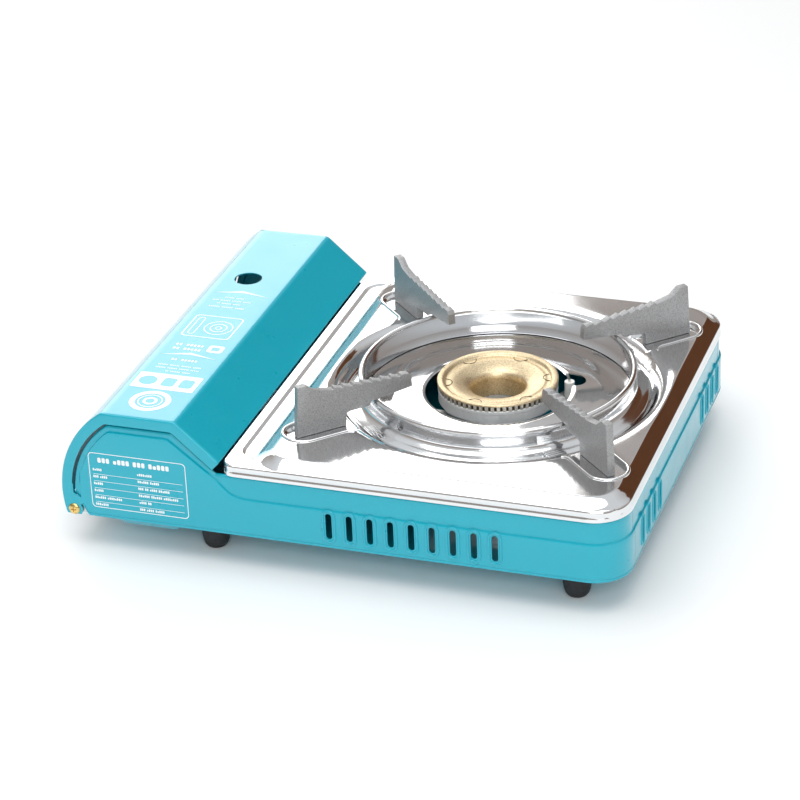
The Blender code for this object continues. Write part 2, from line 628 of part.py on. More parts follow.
def make_knob():
    x, z = KNOB
    place("spindle", rod_mesh((x, -112.3, z), (x, -133, z), SPINDLE_RADIUS, 16),
          "brass", 30)
    cam = place("spindle_cam", rod_mesh((x, -119, z), (x, -114, z), 7.0, 24), "white_ceramic", 30)
    cut(cam, rod_mesh((x, -121, z), (x, -112, z), SPINDLE_RADIUS + GAP, 16))
    face = -KNOB_FACE
    profile = [(0, face - 4), (9, face - 4), (9, face - 0.6), (10, face), (12.6, face),
               (14.2, face - 1.2), (KNOB_RADIUS, face - 15), (KNOB_RADIUS, -Y_FRONT + 1.6),
               (0, -Y_FRONT + 1.6)]
    knob = place("knob", turned_mesh(profile, (x, 0, z), 32, "Y"), "black_plastic", 30)
    cut(knob, rod_mesh((x, Y_FRONT, z), (x, -133.6, z), SPINDLE_RADIUS + GAP, 16))
    dial = [arc((x, z), 17.6, 0, 351, 40), arc((x, z), 5.2, 0, 342, 20)]
    place("knob_dial", prism_mesh(dial, "Y", Y_FRONT - 1.1, Y_FRONT - GAP), "zinc_plate", 30)


# ---------------------------------------------------------------- pan support

def leg_outline():
    """Side of a leg as (distance from the burner's axis, height)."""
    foot, top = POCKET_FLOOR + GAP, PAN_HEIGHT
    points = [(LEG_REACH, foot), (LEG_REACH - 1.8, top), (LEG_REACH - 7.3, top),
              (LEG_REACH - 12.8, top - 4.5)]
    for tooth in range(TEETH):
        r = LEG_REACH - 23.5 - TOOTH_PITCH * tooth
        z = top - 6.7 - 0.42 * tooth
        points += [(r, z), (r - 1.4, z + 1.2)]
    tip = LEG_REACH - 73.8
    points += [(tip + 1.8, top - 8.9), (tip + 0.4, top - 11), (tip, top - 17.4),
               (RING_RADIUS + 3.6, RING_TOP + 0.5), (RING_RADIUS + 5.4, RING_TOP - 2.1),
               (LEG_REACH - 33.4, RING_TOP - 2.2), (LEG_REACH - 31.2, RING_TOP - 3.8),
               (LEG_REACH - 30.9, foot)]
    return points


def make_pan_support():
    r, top = RING_RADIUS, RING_TOP
    bead = arc((r + 0.2, top - 1.9), 1.9, 240, -60, 9)
    profile = bead + [(r + 0.6, FLOOR_Z + 7), (r + 2.6, FLOOR_Z + 4.6), (r + 8.9, FLOOR_Z + 2.6),
                      (r + 8.9, FLOOR_Z + 0.6), (r + 8.0, FLOOR_Z + 0.6), (r + 8.0, FLOOR_Z + 1.9),
                      (r + 1.8, FLOOR_Z + 3.9), (r - 0.3, FLOOR_Z + 6.8)]
    place("support_ring", turned_mesh(profile, (*BURNER, 0), 48), "polished_steel", 40)
    outline = leg_outline()
    for name, angle in LEGS.items():
        mesh = prism_mesh([outline], "Y", -LEG_THICKNESS / 2, LEG_THICKNESS / 2)
        mesh.transform(Matrix.Translation((BURNER[0] * MM, BURNER[1] * MM, 0))
                       @ Matrix.Rotation(radians(angle), 4, "Z"))
        place(f"leg_{name}", mesh, "cast_grey")


def set_origin(name, point):
    """Move an object's origin to a point while its shape stays where it is."""
    obj = STOVE.objects[name]
    offset = Vector(point) * MM
    obj.data.transform(Matrix.Translation(-offset))
    obj.location = offset


def main():
    global STOVE, CUTTERS
    clear_scene()
    STOVE = make_collection("camping_stove")
    CUTTERS = make_collection("cutters")
    make_materials()
    make_walls()
    make_bottom()
    make_top_plate()
    make_cover()
    make_hinges()
    make_cartridge_drive()
    make_gas_train()
    make_burner()
    make_igniter()
    make_knob()
    make_pan_support()
    set_origin("cartridge_cover", (HINGE[0], 0, HINGE[1]))
    set_origin("knob", (KNOB[0], KNOB_FACE, KNOB[1]))
    set_origin("spindle", (KNOB[0], Y_FRONT, KNOB[1]))
    set_origin("spindle_cam", (KNOB[0], Y_FRONT, KNOB[1]))


main()
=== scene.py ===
"""Looks of the portable cassette gas stove: its pressed sheet, castings, finishes and prints.

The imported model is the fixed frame. Sizes are in millimetres and MM turns them into metres.
The stove stands on Z = 0, the user stands at -Y, and the cartridge bay is at +X.
"""
from math import atan2, cos, degrees, pi, radians, sin

import bmesh
import bpy
import numpy as np
from bpy.props import FloatProperty, FloatVectorProperty, PointerProperty
from mathutils import Matrix, Vector


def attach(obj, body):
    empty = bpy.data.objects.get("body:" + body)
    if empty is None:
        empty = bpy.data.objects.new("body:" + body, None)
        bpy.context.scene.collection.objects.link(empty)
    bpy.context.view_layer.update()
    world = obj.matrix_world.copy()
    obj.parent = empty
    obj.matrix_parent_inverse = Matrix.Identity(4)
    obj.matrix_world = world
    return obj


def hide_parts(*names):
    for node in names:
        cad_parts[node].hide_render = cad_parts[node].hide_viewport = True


bl_info = {
    "name": "Cassette stove looks",
    "version": (1, 0, 0),
    "blender": (4, 5, 0),
    "location": "View3D > Sidebar > Stove",
    "description": "Builds the visible pieces and finishes of a portable cassette gas stove",
    "category": "Object",
}

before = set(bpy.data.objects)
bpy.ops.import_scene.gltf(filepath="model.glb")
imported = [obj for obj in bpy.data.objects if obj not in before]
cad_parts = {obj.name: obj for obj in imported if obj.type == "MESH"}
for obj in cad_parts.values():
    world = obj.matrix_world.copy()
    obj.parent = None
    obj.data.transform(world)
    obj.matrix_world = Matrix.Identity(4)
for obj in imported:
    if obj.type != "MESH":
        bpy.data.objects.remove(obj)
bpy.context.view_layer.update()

MM = 0.001

# Case
X_SIDE = -167.0
Y_FRONT, Y_BACK = -121.5, 138.5
SHEET = 0.8
CORNER = 22.0
SEAM = 24.0
Z_BASE = 20.0
Z_SKIRT = 58.0
Z_RIM = 65.0
Z_DECK = 69.5
X_PLATE = 67.4
FEET = {"foot_back_bay": (81.0, 118.5), "foot_back_side": (-135.0, 118.5),
        "foot_front_side": (-135.0, -101.5), "foot_front_bay": (81.0, -101.5)}
VENT_Z = 34.2
VENT_SLOT = (3.7, 16.4)
VENT_RIM = (6.9, 0.8, 19.8)
BACK_VENTS = [3.5 - 12.15 * i for i in range(9)]
SIDE_VENTS = [96.5 - 13.3 * i for i in range(4)] + [-50.0 - 13.3 * i for i in range(4)]

# Cover of the cartridge bay
HINGE = (160.2, 23.5)
BAY_ARC = (103.0, 35.0)
COVER_RADIUS = 64.0
COVER_TOP = 88.5
COVER_TOP_X = 93.0
COVER_LIP = (69.0, 67.0)
FLANGE = 6.5
EAR_RADIUS = 5.2
COVER_HOLE = (120.0, -49.5)
COVER_HOLE_RADIUS = 8.6
VENT_ANGLE = 28.0

# Burner and pan support
BURNER = (-57.8, 8.5)
KEYHOLE_REACH, KEYHOLE_RADIUS = 45.0, 8.0
ELECTRODE = (-95.5, -12.5)
HOLE_RADIUS = 43.0
CAP_TOP = 71.0
RING_RADIUS, RING_TOP = 79.6, 78.4
LEGS = {"back_bay": 45, "back_side": 135, "front_side": 225, "front_bay": 315}
LEG_REACH, PAN_HEIGHT = 130.8, 99.0
POCKET_FLOOR, POCKET_REACH, POCKET_WIDTH = 67.4, 137.0, 22.0
LEG_HALF_THICKNESS = 2.25
SERRATIONS = 8
TAB_RIBS = 4
CROWN_TEETH, CROWN_MARKS = 64, 6

# Controls
KNOB = (42.0, 40.0)
KNOB_FACE = -140.0
LEVER_X, LEVER_Z = 88.0, 66.0
LEVER_SLOT, LEVER_SLOT_Z = 23.0, 59.0
KNOB_RIBS, DIAL_TICKS = 24, 9


# ---------------------------------------------------------------- finishes

class Finish:
    """A Principled material with helpers that add pattern nodes to it."""

    def __init__(self, name, metallic=0.0, roughness=0.5, **sockets):
        self.material = bpy.data.materials.new(name)
        self.material.use_nodes = True
        self.nodes = self.material.node_tree.nodes
        self.links = self.material.node_tree.links
        self.shader = self.nodes["Principled BSDF"]
        self.shader.inputs["Metallic"].default_value = metallic
        self.shader.inputs["Roughness"].default_value = roughness
        for socket, value in sockets.items():
            self.shader.inputs[socket.replace("_", " ")].default_value = value
        self.place = self.nodes.new("ShaderNodeTexCoord")

    def noise(self, scale, detail=2.0, stretch=None):
        """Noise in object coordinates, per metre, stretched along an axis where wanted."""
        texture = self.nodes.new("ShaderNodeTexNoise")
        texture.inputs["Scale"].default_value = scale
        texture.inputs["Detail"].default_value = detail
        source = self.place.outputs["Object"]
        if stretch:
            mapping = self.nodes.new("ShaderNodeMapping")
            mapping.inputs["Scale"].default_value = stretch
            self.links.new(source, mapping.inputs["Vector"])
            source = mapping.outputs["Vector"]
        self.links.new(source, texture.inputs["Vector"])
        return texture.outputs["Fac"]

    def colours(self, fac, stops):
        """Colour ramp from a factor; each stop is (position, (r, g, b))."""
        ramp = self.nodes.new("ShaderNodeValToRGB")
        elements = ramp.color_ramp.elements
        while len(elements) < len(stops):
            elements.new(0.5)
        for element, (position, colour) in zip(elements, stops):
            element.position = position
            element.color = (*colour, 1.0)
        self.links.new(fac, ramp.inputs["Fac"])
        self.links.new(ramp.outputs["Color"], self.shader.inputs["Base Color"])
        return ramp

    def roughness(self, fac, low, high):
        """Roughness that runs from low to high with a factor."""
        spread = self.nodes.new("ShaderNodeMapRange")
        spread.inputs["From Min"].default_value = 0.3
        spread.inputs["From Max"].default_value = 0.7
        spread.inputs["To Min"].default_value = low
        spread.inputs["To Max"].default_value = high
        self.links.new(fac, spread.inputs["Value"])
        self.links.new(spread.outputs["Result"], self.shader.inputs["Roughness"])

    def bump(self, fac, strength, depth):
        """Fine relief from a factor, with its depth in millimetres."""
        bump = self.nodes.new("ShaderNodeBump")
        bump.inputs["Strength"].default_value = strength
        bump.inputs["Distance"].default_value = depth * MM
        self.links.new(fac, bump.inputs["Height"])
        self.links.new(bump.outputs["Normal"], self.shader.inputs["Normal"])


def enamel_finish(name, colour):
    """Pearl lacquer: fine flakes under a clear glossy coat with a slight orange peel."""
    base = Vector(colour)
    finish = Finish(name, metallic=0.1, Coat_Weight=1.0, Coat_Roughness=0.04,
                    Specular_IOR_Level=0.3)
    flakes = finish.noise(2600.0, 1.0)
    finish.colours(flakes, [(0.3, base * 0.9), (0.55, base), (0.75, base * 1.12)])
    finish.roughness(finish.noise(60.0), 0.27, 0.36)
    finish.bump(finish.noise(420.0), 0.05, 0.05)
    return finish.material


def steel_finish(name, colour, rough, grain):
    """Bright rolled stainless steel with faint draw marks and handling haze."""
    base = Vector(colour)
    finish = Finish(name, metallic=1.0)
    finish.colours(finish.noise(9.0, 3.0), [(0.3, base * 0.93), (0.7, base)])
    finish.roughness(finish.noise(35.0, 4.0), rough, rough + 0.05)
    finish.bump(finish.noise(500.0, 2.0, grain), 0.02, 0.03)
    return finish.material


def cast_finish(name, colour, rough, speckle, depth, metallic=0.7):
    """Blasted or cast metal: fine even speckle in the colour and in the skin."""
    base = Vector(colour)
    finish = Finish(name, metallic=metallic)
    finish.colours(finish.noise(speckle, 3.0),
                   [(0.32, base * 0.72), (0.5, base), (0.7, base * 1.25)])
    finish.roughness(finish.noise(speckle * 0.4), rough - 0.06, rough + 0.08)
    finish.bump(finish.noise(speckle, 4.0), 0.35, depth)
    return finish.material


def plain_finish(name, colour, rough, metallic, spread, scale):
    """Moulded or plated surface: slight colour and gloss variation and a fine skin."""
    base = Vector(colour)
    finish = Finish(name, metallic=metallic)
    finish.colours(finish.noise(scale, 3.0),
                   [(0.3, base * (1 - spread)), (0.7, base * (1 + spread))])
    finish.roughness(finish.noise(scale * 0.6), rough - 0.04, rough + 0.06)
    finish.bump(finish.noise(scale * 3), 0.1, 0.04)
    return finish.material


FINISHES = {}


def make_finishes(look):
    """Every finish by its name; the user's colours come from the look."""
    FINISHES.update({
        "teal_enamel": enamel_finish("teal_enamel", look.enamel),
        "polished_steel": steel_finish("polished_steel", look.steel, look.steel_roughness,
                                       (1, 30, 1)),
        "ring_steel": steel_finish("ring_steel", look.steel, look.steel_roughness + 0.03,
                                   (1, 1, 20)),
        "cast_grey": cast_finish("cast_grey", look.casting, 0.50, 1500.0, 0.06),
        "base_casting": plain_finish("base_casting", (0.86, 0.87, 0.87), 0.34, 0.35, 0.05, 300.0),
        "brass": cast_finish("brass", look.brass, 0.42, 1300.0, 0.05, 1.0),
        "tooth_metal": cast_finish("tooth_metal", (0.66, 0.62, 0.54), 0.4, 1000.0, 0.04, 0.95),
        # Dark brown for the crown's marks and for the painted shade ring behind the crown's teeth.
        "oxide_and_port_shade": plain_finish("oxide_and_port_shade", (0.06, 0.045, 0.03), 0.6, 0.5, 0.3, 600.0),
        "zinc_plate": plain_finish("zinc_plate", (0.60, 0.61, 0.60), 0.32, 1.0, 0.06, 120.0),
        "black_rubber": plain_finish("black_rubber", (0.018, 0.018, 0.02), 0.62, 0.0, 0.25, 500.0),
        "black_plastic": plain_finish("black_plastic", (0.022, 0.022, 0.024), 0.34, 0.0, 0.2,
                                      300.0),
        "white_ceramic": plain_finish("white_ceramic", (0.86, 0.85, 0.81), 0.22, 0.0, 0.04, 200.0),
        "red_wire": plain_finish("red_wire", (0.50, 0.04, 0.035), 0.45, 0.0, 0.15, 300.0),
        "white_print": plain_finish("white_print", (0.88, 0.92, 0.93), 0.45, 0.0, 0.03, 400.0),
        "screw_brass": plain_finish("screw_brass", (0.80, 0.58, 0.22), 0.26, 1.0, 0.12, 500.0),
    })


# ---------------------------------------------------------------- mesh helpers

PLANES = {
    "Z": Matrix(((1, 0, 0), (0, 1, 0), (0, 0, 1))),
    "Y": Matrix(((1, 0, 0), (0, 0, -1), (0, 1, 0))),
    "X": Matrix(((0, 0, 1), (1, 0, 0), (0, 1, 0))),
}


def arc(centre, radius, start, stop, count):
    """Points on an arc; the angles are in degrees and both ends are included."""
    angles = [radians(start + (stop - start) * i / (count - 1)) for i in range(count)]
    return [(centre[0] + radius * cos(a), centre[1] + radius * sin(a)) for a in angles]


def rounded_rectangle(low, high, radius, count=7):
    """Outline of a rectangle between two corners, with rounded corners."""
    corners = [(low[0], low[1], 1, 1, 180), (high[0], low[1], -1, 1, 270),
               (high[0], high[1], -1, -1, 0), (low[0], high[1], 1, -1, 90)]
    points = []
    for x, y, sx, sy, start in corners:
        points += arc((x + sx * radius, y + sy * radius), radius, start, start + 90, count)
    return points


def slot_outline(centre, width, length, count=9):
    """Outline of an upright slot with round ends."""
    radius = width / 2
    reach = length / 2 - radius
    top = arc((centre[0], centre[1] + reach), radius, 0, 180, count)
    return top + arc((centre[0], centre[1] - reach), radius, 180, 360, count)


def mesh_of(verts, faces, name="shape"):
    """Mesh from points in millimetres."""
    mesh = bpy.data.meshes.new(name)
    mesh.from_pydata([[c * MM for c in v] for v in verts], [], faces)
    return mesh


def loft_mesh(rows, closed=False):
    """Surface through rows of equally many points; closed joins each row's ends."""
    count = len(rows[0])
    faces = []
    for r in range(len(rows) - 1):
        for i in range(count if closed else count - 1):
            j = (i + 1) % count
            faces.append((r * count + i, r * count + j, (r + 1) * count + j, (r + 1) * count + i))
    return mesh_of([p for row in rows for p in row], faces)


def turned_mesh(profile, centre=(0, 0), steps=96, ring=False):
    """Profile of (radius, height) turned about Z; ring closes the profile on itself."""
    rows = [[(centre[0] + r * cos(2 * pi * k / steps), centre[1] + r * sin(2 * pi * k / steps), z)
             for k in range(steps)] for r, z in profile]
    if ring:
        rows.append(rows[0])
    mesh = loft_mesh(rows, closed=True)
    return welded(mesh)


def welded(mesh):
    """The mesh with doubled points merged and its faces turned outwards."""
    bm = bmesh.new()
    bm.from_mesh(mesh)
    bmesh.ops.remove_doubles(bm, verts=bm.verts, dist=1e-6)
    bmesh.ops.dissolve_degenerate(bm, dist=1e-7, edges=bm.edges)
    bmesh.ops.recalc_face_normals(bm, faces=bm.faces)
    bm.to_mesh(mesh)
    bm.free()
    return mesh


def prism_mesh(outlines, along, low, high):
    """Flat outline, with any holes as further outlines, extruded from low to high."""
    curve = bpy.data.curves.new("outline", "CURVE")
    curve.dimensions = "2D"
    curve.fill_mode = "BOTH"
    curve.extrude = abs(high - low) / 2 * MM
    for outline in outlines:
        spline = curve.splines.new("POLY")
        spline.points.add(len(outline) - 1)
        for point, (a, b) in zip(spline.points, outline):
            point.co = (a * MM, b * MM, 0, 1)
        spline.use_cyclic_u = True
    obj = bpy.data.objects.new("outline", curve)
    bpy.context.scene.collection.objects.link(obj)
    offset = {"Z": (0, 0, 1), "Y": (0, 1, 0), "X": (1, 0, 0)}[along]
    middle = Vector(offset) * (low + high) / 2 * MM
    mesh = final_mesh(obj)
    mesh.transform(Matrix.Translation(middle) @ PLANES[along].to_4x4())
    return welded(mesh)


def final_mesh(obj):
    """The evaluated shape of an object as a plain mesh, with the object removed."""
    bpy.context.view_layer.update()
    graph = bpy.context.evaluated_depsgraph_get()
    mesh = bpy.data.meshes.new_from_object(obj.evaluated_get(graph))
    bpy.data.objects.remove(obj, do_unlink=True)
    return mesh


def joined(*meshes):
    """The meshes as one."""
    bm = bmesh.new()
    for mesh in meshes:
        bm.from_mesh(mesh)
    result = bpy.data.meshes.new("joined")
    bm.to_mesh(result)
    bm.free()
    return result


def loose_object(name, mesh):
    """An object with the mesh, linked to the scene."""
    obj = bpy.data.objects.new(name, mesh)
    bpy.context.scene.collection.objects.link(obj)
    return obj


def solid_sheet(mesh, thickness=SHEET):
    """The open surface as sheet, thickened behind its faces."""
    obj = loose_object("sheet", mesh)
    modifier = obj.modifiers.new("sheet", "SOLIDIFY")
    modifier.thickness = thickness * MM
    modifier.offset = -1.0
    return final_mesh(obj)


def cut_mesh(mesh, *cutters):
    """The mesh with each cutter taken out of it."""
    for cutter in cutters:
        obj, tool = loose_object("body", mesh), loose_object("tool", cutter)
        modifier = obj.modifiers.new("cut", "BOOLEAN")
        modifier.operation = "DIFFERENCE"
        modifier.solver = "EXACT"
        modifier.use_self = True
        modifier.object = tool
        mesh = final_mesh(obj)
        bpy.data.objects.remove(tool, do_unlink=True)
    return mesh


def bevelled(mesh, width, segments=2, angle=40):
    """The mesh with its sharp edges rounded by a width."""
    obj = loose_object("bevel", mesh)
    modifier = obj.modifiers.new("bevel", "BEVEL")
    modifier.width = width * MM
    modifier.segments = segments
    modifier.limit_method = "ANGLE"
    modifier.angle_limit = radians(angle)
    return final_mesh(obj)


def piece(name, mesh, finish, body, replaces=(), smooth=35):
    """A finished visible piece that rides on a body and may stand for CAD nodes."""
    obj = loose_object(name, mesh)
    mesh.materials.clear()
    mesh.materials.append(FINISHES[finish])
    mesh.shade_smooth()
    mesh.set_sharp_from_angle(angle=radians(smooth))
    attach(obj, body)
    if replaces:
        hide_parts(*replaces)
    return obj


# ---------------------------------------------------------------- repeated features

def new_tree(name, sizes):
    """An empty tree with an input for each size and for the finish, and its two end nodes."""
    tree = bpy.data.node_groups.new(name, "GeometryNodeTree")
    sockets = [("Geometry", "Geometry")] + [(size, "Float") for size in sizes]
    for label, kind in sockets + [("Finish", "Material")]:
        tree.interface.new_socket(label, in_out="INPUT", socket_type=f"NodeSocket{kind}")
    tree.interface.new_socket("Geometry", in_out="OUTPUT", socket_type="NodeSocketGeometry")
    return tree, tree.nodes.new("NodeGroupInput"), tree.nodes.new("NodeGroupOutput")


def end_tree(tree, group_in, group_out, shape):
    """Finish a tree: the shape is made real, given its material and handed out."""
    real = tree.nodes.new("GeometryNodeRealizeInstances")
    paint = tree.nodes.new("GeometryNodeSetMaterial")
    tree.links.new(shape, real.inputs["Geometry"])
    tree.links.new(real.outputs["Geometry"], paint.inputs["Geometry"])
    tree.links.new(group_in.outputs["Finish"], paint.inputs["Material"])
    tree.links.new(paint.outputs["Geometry"], group_out.inputs["Geometry"])


def through_tree(tree, mesh, finish, **sizes):
    """The mesh that a tree makes from a mesh, with its sizes in millimetres."""
    obj = loose_object("source", mesh)
    modifier = obj.modifiers.new("tree", "NODES")
    modifier.node_group = tree
    identifiers = {s.name: s.identifier for s in tree.interface.items_tree
                   if s.in_out == "INPUT"}
    for name, value in sizes.items():
        modifier[identifiers[name]] = value * MM
    modifier[identifiers["Finish"]] = FINISHES[finish]
    return final_mesh(obj)


def repeat_tree(name, build):
    """A tree that sets one shape on every point; build returns the shape's socket."""
    tree, group_in, group_out = new_tree(name, SIZES)
    turn = tree.nodes.new("GeometryNodeInputNamedAttribute")
    turn.data_type = "FLOAT_VECTOR"
    turn.inputs["Name"].default_value = "turn"
    repeat = tree.nodes.new("GeometryNodeInstanceOnPoints")
    tree.links.new(group_in.outputs["Geometry"], repeat.inputs["Points"])
    tree.links.new(build(tree, group_in), repeat.inputs["Instance"])
    tree.links.new(turn.outputs["Attribute"], repeat.inputs["Rotation"])
    end_tree(tree, group_in, group_out, repeat.outputs["Instances"])
    return tree


def rim_shape(tree, group_in):
    """Upright oval rim: a slot outline swept by a flattened round section."""
    nodes, links = tree.nodes, tree.links
    outline = nodes.new("GeometryNodeCurvePrimitiveQuadrilateral")
    fillet = nodes.new("GeometryNodeFilletCurve")
    fillet.mode = "POLY"
    fillet.inputs["Count"].default_value = 8
    half = nodes.new("ShaderNodeMath")
    half.operation = "MULTIPLY"
    half.inputs[1].default_value = 0.499
    section = nodes.new("GeometryNodeCurvePrimitiveCircle")
    section.inputs["Resolution"].default_value = 12
    sweep = nodes.new("GeometryNodeCurveToMesh")
    flat = nodes.new("GeometryNodeTransform")
    flat.inputs["Scale"].default_value = (1.0, 1.0, 0.75)
    links.new(group_in.outputs["Width"], outline.inputs["Width"])
    links.new(group_in.outputs["Height"], outline.inputs["Height"])
    links.new(group_in.outputs["Width"], half.inputs[0])
    links.new(outline.outputs["Curve"], fillet.inputs["Curve"])
    links.new(half.outputs["Value"], fillet.inputs["Radius"])
    links.new(fillet.outputs["Curve"], sweep.inputs["Curve"])
    links.new(group_in.outputs["Depth"], section.inputs["Radius"])
    links.new(section.outputs["Curve"], sweep.inputs["Profile Curve"])
    links.new(sweep.outputs["Mesh"], flat.inputs["Geometry"])
    return flat.outputs["Geometry"]


def block_shape(tree, group_in):
    """Small block of the given width, depth and height."""
    nodes, links = tree.nodes, tree.links
    size = nodes.new("ShaderNodeCombineXYZ")
    cube = nodes.new("GeometryNodeMeshCube")
    for axis, name in zip("XYZ", ("Width", "Depth", "Height")):
        links.new(group_in.outputs[name], size.inputs[axis])
    links.new(size.outputs["Vector"], cube.inputs["Size"])
    return cube.outputs["Mesh"]


def bar_shape(tree, group_in):
    """Round bar along Z with the given width and height."""
    nodes, links = tree.nodes, tree.links
    rod = nodes.new("GeometryNodeMeshCylinder")
    rod.inputs["Vertices"].default_value = 12
    half = nodes.new("ShaderNodeMath")
    half.operation = "MULTIPLY"
    half.inputs[1].default_value = 0.5
    links.new(group_in.outputs["Width"], half.inputs[0])
    links.new(half.outputs["Value"], rod.inputs["Radius"])
    links.new(group_in.outputs["Height"], rod.inputs["Depth"])
    return rod.outputs["Mesh"]


TREES = {}
SIZES = ("Width", "Depth", "Height")


def repeated(kind, spots, turns, size, finish):
    """Mesh with one shape of a kind at every spot, turned by its Euler angles."""
    if kind not in TREES:
        build = {"rim": rim_shape, "block": block_shape, "bar": bar_shape}[kind]
        TREES[kind] = repeat_tree(f"repeat_{kind}", build)
    mesh = mesh_of(spots, [])
    attribute = mesh.attributes.new("turn", "FLOAT_VECTOR", "POINT")
    attribute.data.foreach_set("vector", [c for turn in turns for c in turn])
    return through_tree(TREES[kind], mesh, finish, **dict(zip(SIZES, size)))


def around(radius, z, count, first=0.0):
    """Spots on a circle round the burner, each turned to face outwards."""
    angles = [first + 2 * pi * k / count for k in range(count)]
    spots = [(BURNER[0] + radius * cos(a), BURNER[1] + radius * sin(a), z) for a in angles]
    return spots, [(0, 0, a) for a in angles]


# ---------------------------------------------------------------- case walls

def cover_outline(inset, low_angle=-10.0, count=13):
    """Cross-section of the cover as (x, z), from its lower outer edge to its lip."""
    radius = COVER_RADIUS - inset
    top = COVER_TOP - inset
    reach = ((radius ** 2) - (top - BAY_ARC[1]) ** 2) ** 0.5
    top_angle = degrees(atan2(top - BAY_ARC[1], reach))
    slope_x = COVER_TOP_X - COVER_LIP[0]
    slope_z = COVER_TOP - COVER_LIP[1]
    length = (slope_x ** 2 + slope_z ** 2) ** 0.5
    out_x, out_z = slope_z / length, slope_x / length
    side = arc(BAY_ARC, radius, low_angle, top_angle, count)
    ridge = (COVER_TOP_X + inset * (1 - out_z) / out_x, top)
    lip = (COVER_LIP[0] + inset * out_x, COVER_LIP[1] - inset * out_z)
    return side + [ridge, lip]


BORDER_INSET = 11.6
WALL_GAP = 1.5
STEP_Z = 44.2
STEP_LINE = [(70.2, 54.7), (66.5, 50.6), (63.0, 47.4), (59.0, 45.2), (55.0, 44.4), (51.0, STEP_Z)]
BAND_DEPTH = 1.3


def border_points():
    """The embossed border as (x, z), from the bay's outer edge to the burner side."""
    outline = cover_outline(BORDER_INSET, low_angle=4.0, count=30)
    side, ridge = outline[:-2], outline[-2]
    soft = [(ridge[0] + 2.2, ridge[1]), (ridge[0] + 0.4, ridge[1] - 0.3),
            (ridge[0] - 1.4, ridge[1] - 1.7)]
    return side + soft + STEP_LINE + [(X_SIDE - 5, STEP_Z)]


def wall_rows(low, border, high):
    """(height, inward offset) of a column, with a hem, the border's step and a folded top."""
    rows = [(low, 0.7), (low + 0.35, 0.15), (low + 0.8, 0), (low + 1.7, 0), (low + 2.0, 0.3),
            (low + 2.4, 0.3), (low + 2.7, 0)]
    if border < low + 5:
        base = low + 3.2
        step = [(base + (high - 1.6 - base) * i / 11, BAND_DEPTH) for i in range(12)]
        rows = [(z, BAND_DEPTH + depth) for z, depth in rows]
    else:
        half = min(0.65, (border - low - 3) / 3)
        step = [(low + 3 + (border - half - low - 3) * i / 5, 0) for i in range(6)]
        step += [(border - half * 0.4, BAND_DEPTH * 0.12), (border, BAND_DEPTH * 0.5),
                 (border + half * 0.4, BAND_DEPTH * 0.88), (border + half, BAND_DEPTH)]
        upper = border + half
        step += [(upper + (high - 1.6 - upper) * i / 2, BAND_DEPTH) for i in (1, 2)]
    fold = [(high - down, BAND_DEPTH + inward)
            for down, inward in ((0.8, 0.15), (0.25, 0.6), (0, 1.4))]
    return rows + step + fold


def wall_surface(columns):
    """Surface through columns of (x, y, outward x, outward y, low, border, high)."""
    lofted = []
    for x, y, nx, ny, low, border, high in columns:
        lofted.append([(x - nx * depth, y - ny * depth, z)
                       for z, depth in wall_rows(low, border, high)])
    return lofted


def end_wall_mesh(y_outer, side):
    """Bay end, long wall and rounded corner of the back or front wall, as one sheet."""
    edge = cover_outline(FLANGE + WALL_GAP, low_angle=1.0, count=60)
    border = border_points()
    border_x = [p[0] for p in border][::-1]
    border_z = [p[1] for p in border][::-1]
    edge_x = [p[0] for p in edge][::-1]
    edge_z = [p[1] for p in edge][::-1]
    outer_x = edge[0][0]
    limit_x = border[0][0]
    run = (edge[-2][0] - edge[-1][0]) * (edge[-2][1] - Z_SKIRT) / (edge[-2][1] - edge[-1][1])
    foot_x = edge[-2][0] - run
    edge_x = [X_SIDE - 5, foot_x] + [x for x in edge_x if x > foot_x + 0.1]
    edge_z = [Z_SKIRT, Z_SKIRT] + edge_z[-(len(edge_x) - 2):]
    fine = [p[0] for p in arc((BAY_ARC[0], 0), outer_x - BAY_ARC[0], 0, 82, 46)]
    fine += [limit_x + 0.5, limit_x - 0.1, limit_x - 0.6]
    fine += list(np.linspace(110, 48, 64)) + list(np.linspace(46, X_SIDE + CORNER, 60))
    columns = []
    for x in sorted(set(round(v, 3) for v in fine), reverse=True):
        low = max(Z_BASE, Z_BASE + 14 - 1.8 * (outer_x - x))
        line = float(np.interp(x, border_x, border_z)) if x < limit_x else low
        high = float(np.interp(x, edge_x, edge_z))
        columns.append((x, y_outer, 0, side, low, min(line, high - 3), high))
    centre = (X_SIDE + CORNER, y_outer - side * CORNER)
    for angle in np.linspace(93, 180, 24):
        nx, ny = cos(radians(angle)), side * sin(radians(angle))
        columns.append((centre[0] + CORNER * nx, centre[1] + CORNER * ny, nx, ny,
                        Z_BASE, STEP_Z, Z_SKIRT))
    columns.append((X_SIDE, y_outer - side * SEAM, -1, 0, Z_BASE, STEP_Z, Z_SKIRT))
    return solid_sheet(facing(loft_mesh(wall_surface(columns)), (0, side, 0)))


def facing(mesh, way):
    """The open surface with its faces pointing mostly along a direction."""
    total = sum((p.normal * p.area for p in mesh.polygons), Vector())
    if total.dot(Vector(way)) < 0:
        mesh.flip_normals()
    return mesh


def vent_cutter(along, spots, low, high):
    """Upright slots of a wall's vents, extruded along its normal."""
    return joined(*[prism_mesh([slot_outline((spot, VENT_Z), *VENT_SLOT)], along, low, high)
                    for spot in spots])


def vent_rims(spots, turn):
    """Raised oval rims round the vents of a wall."""
    return repeated("rim", spots, [turn] * len(spots), VENT_RIM, "teal_enamel")


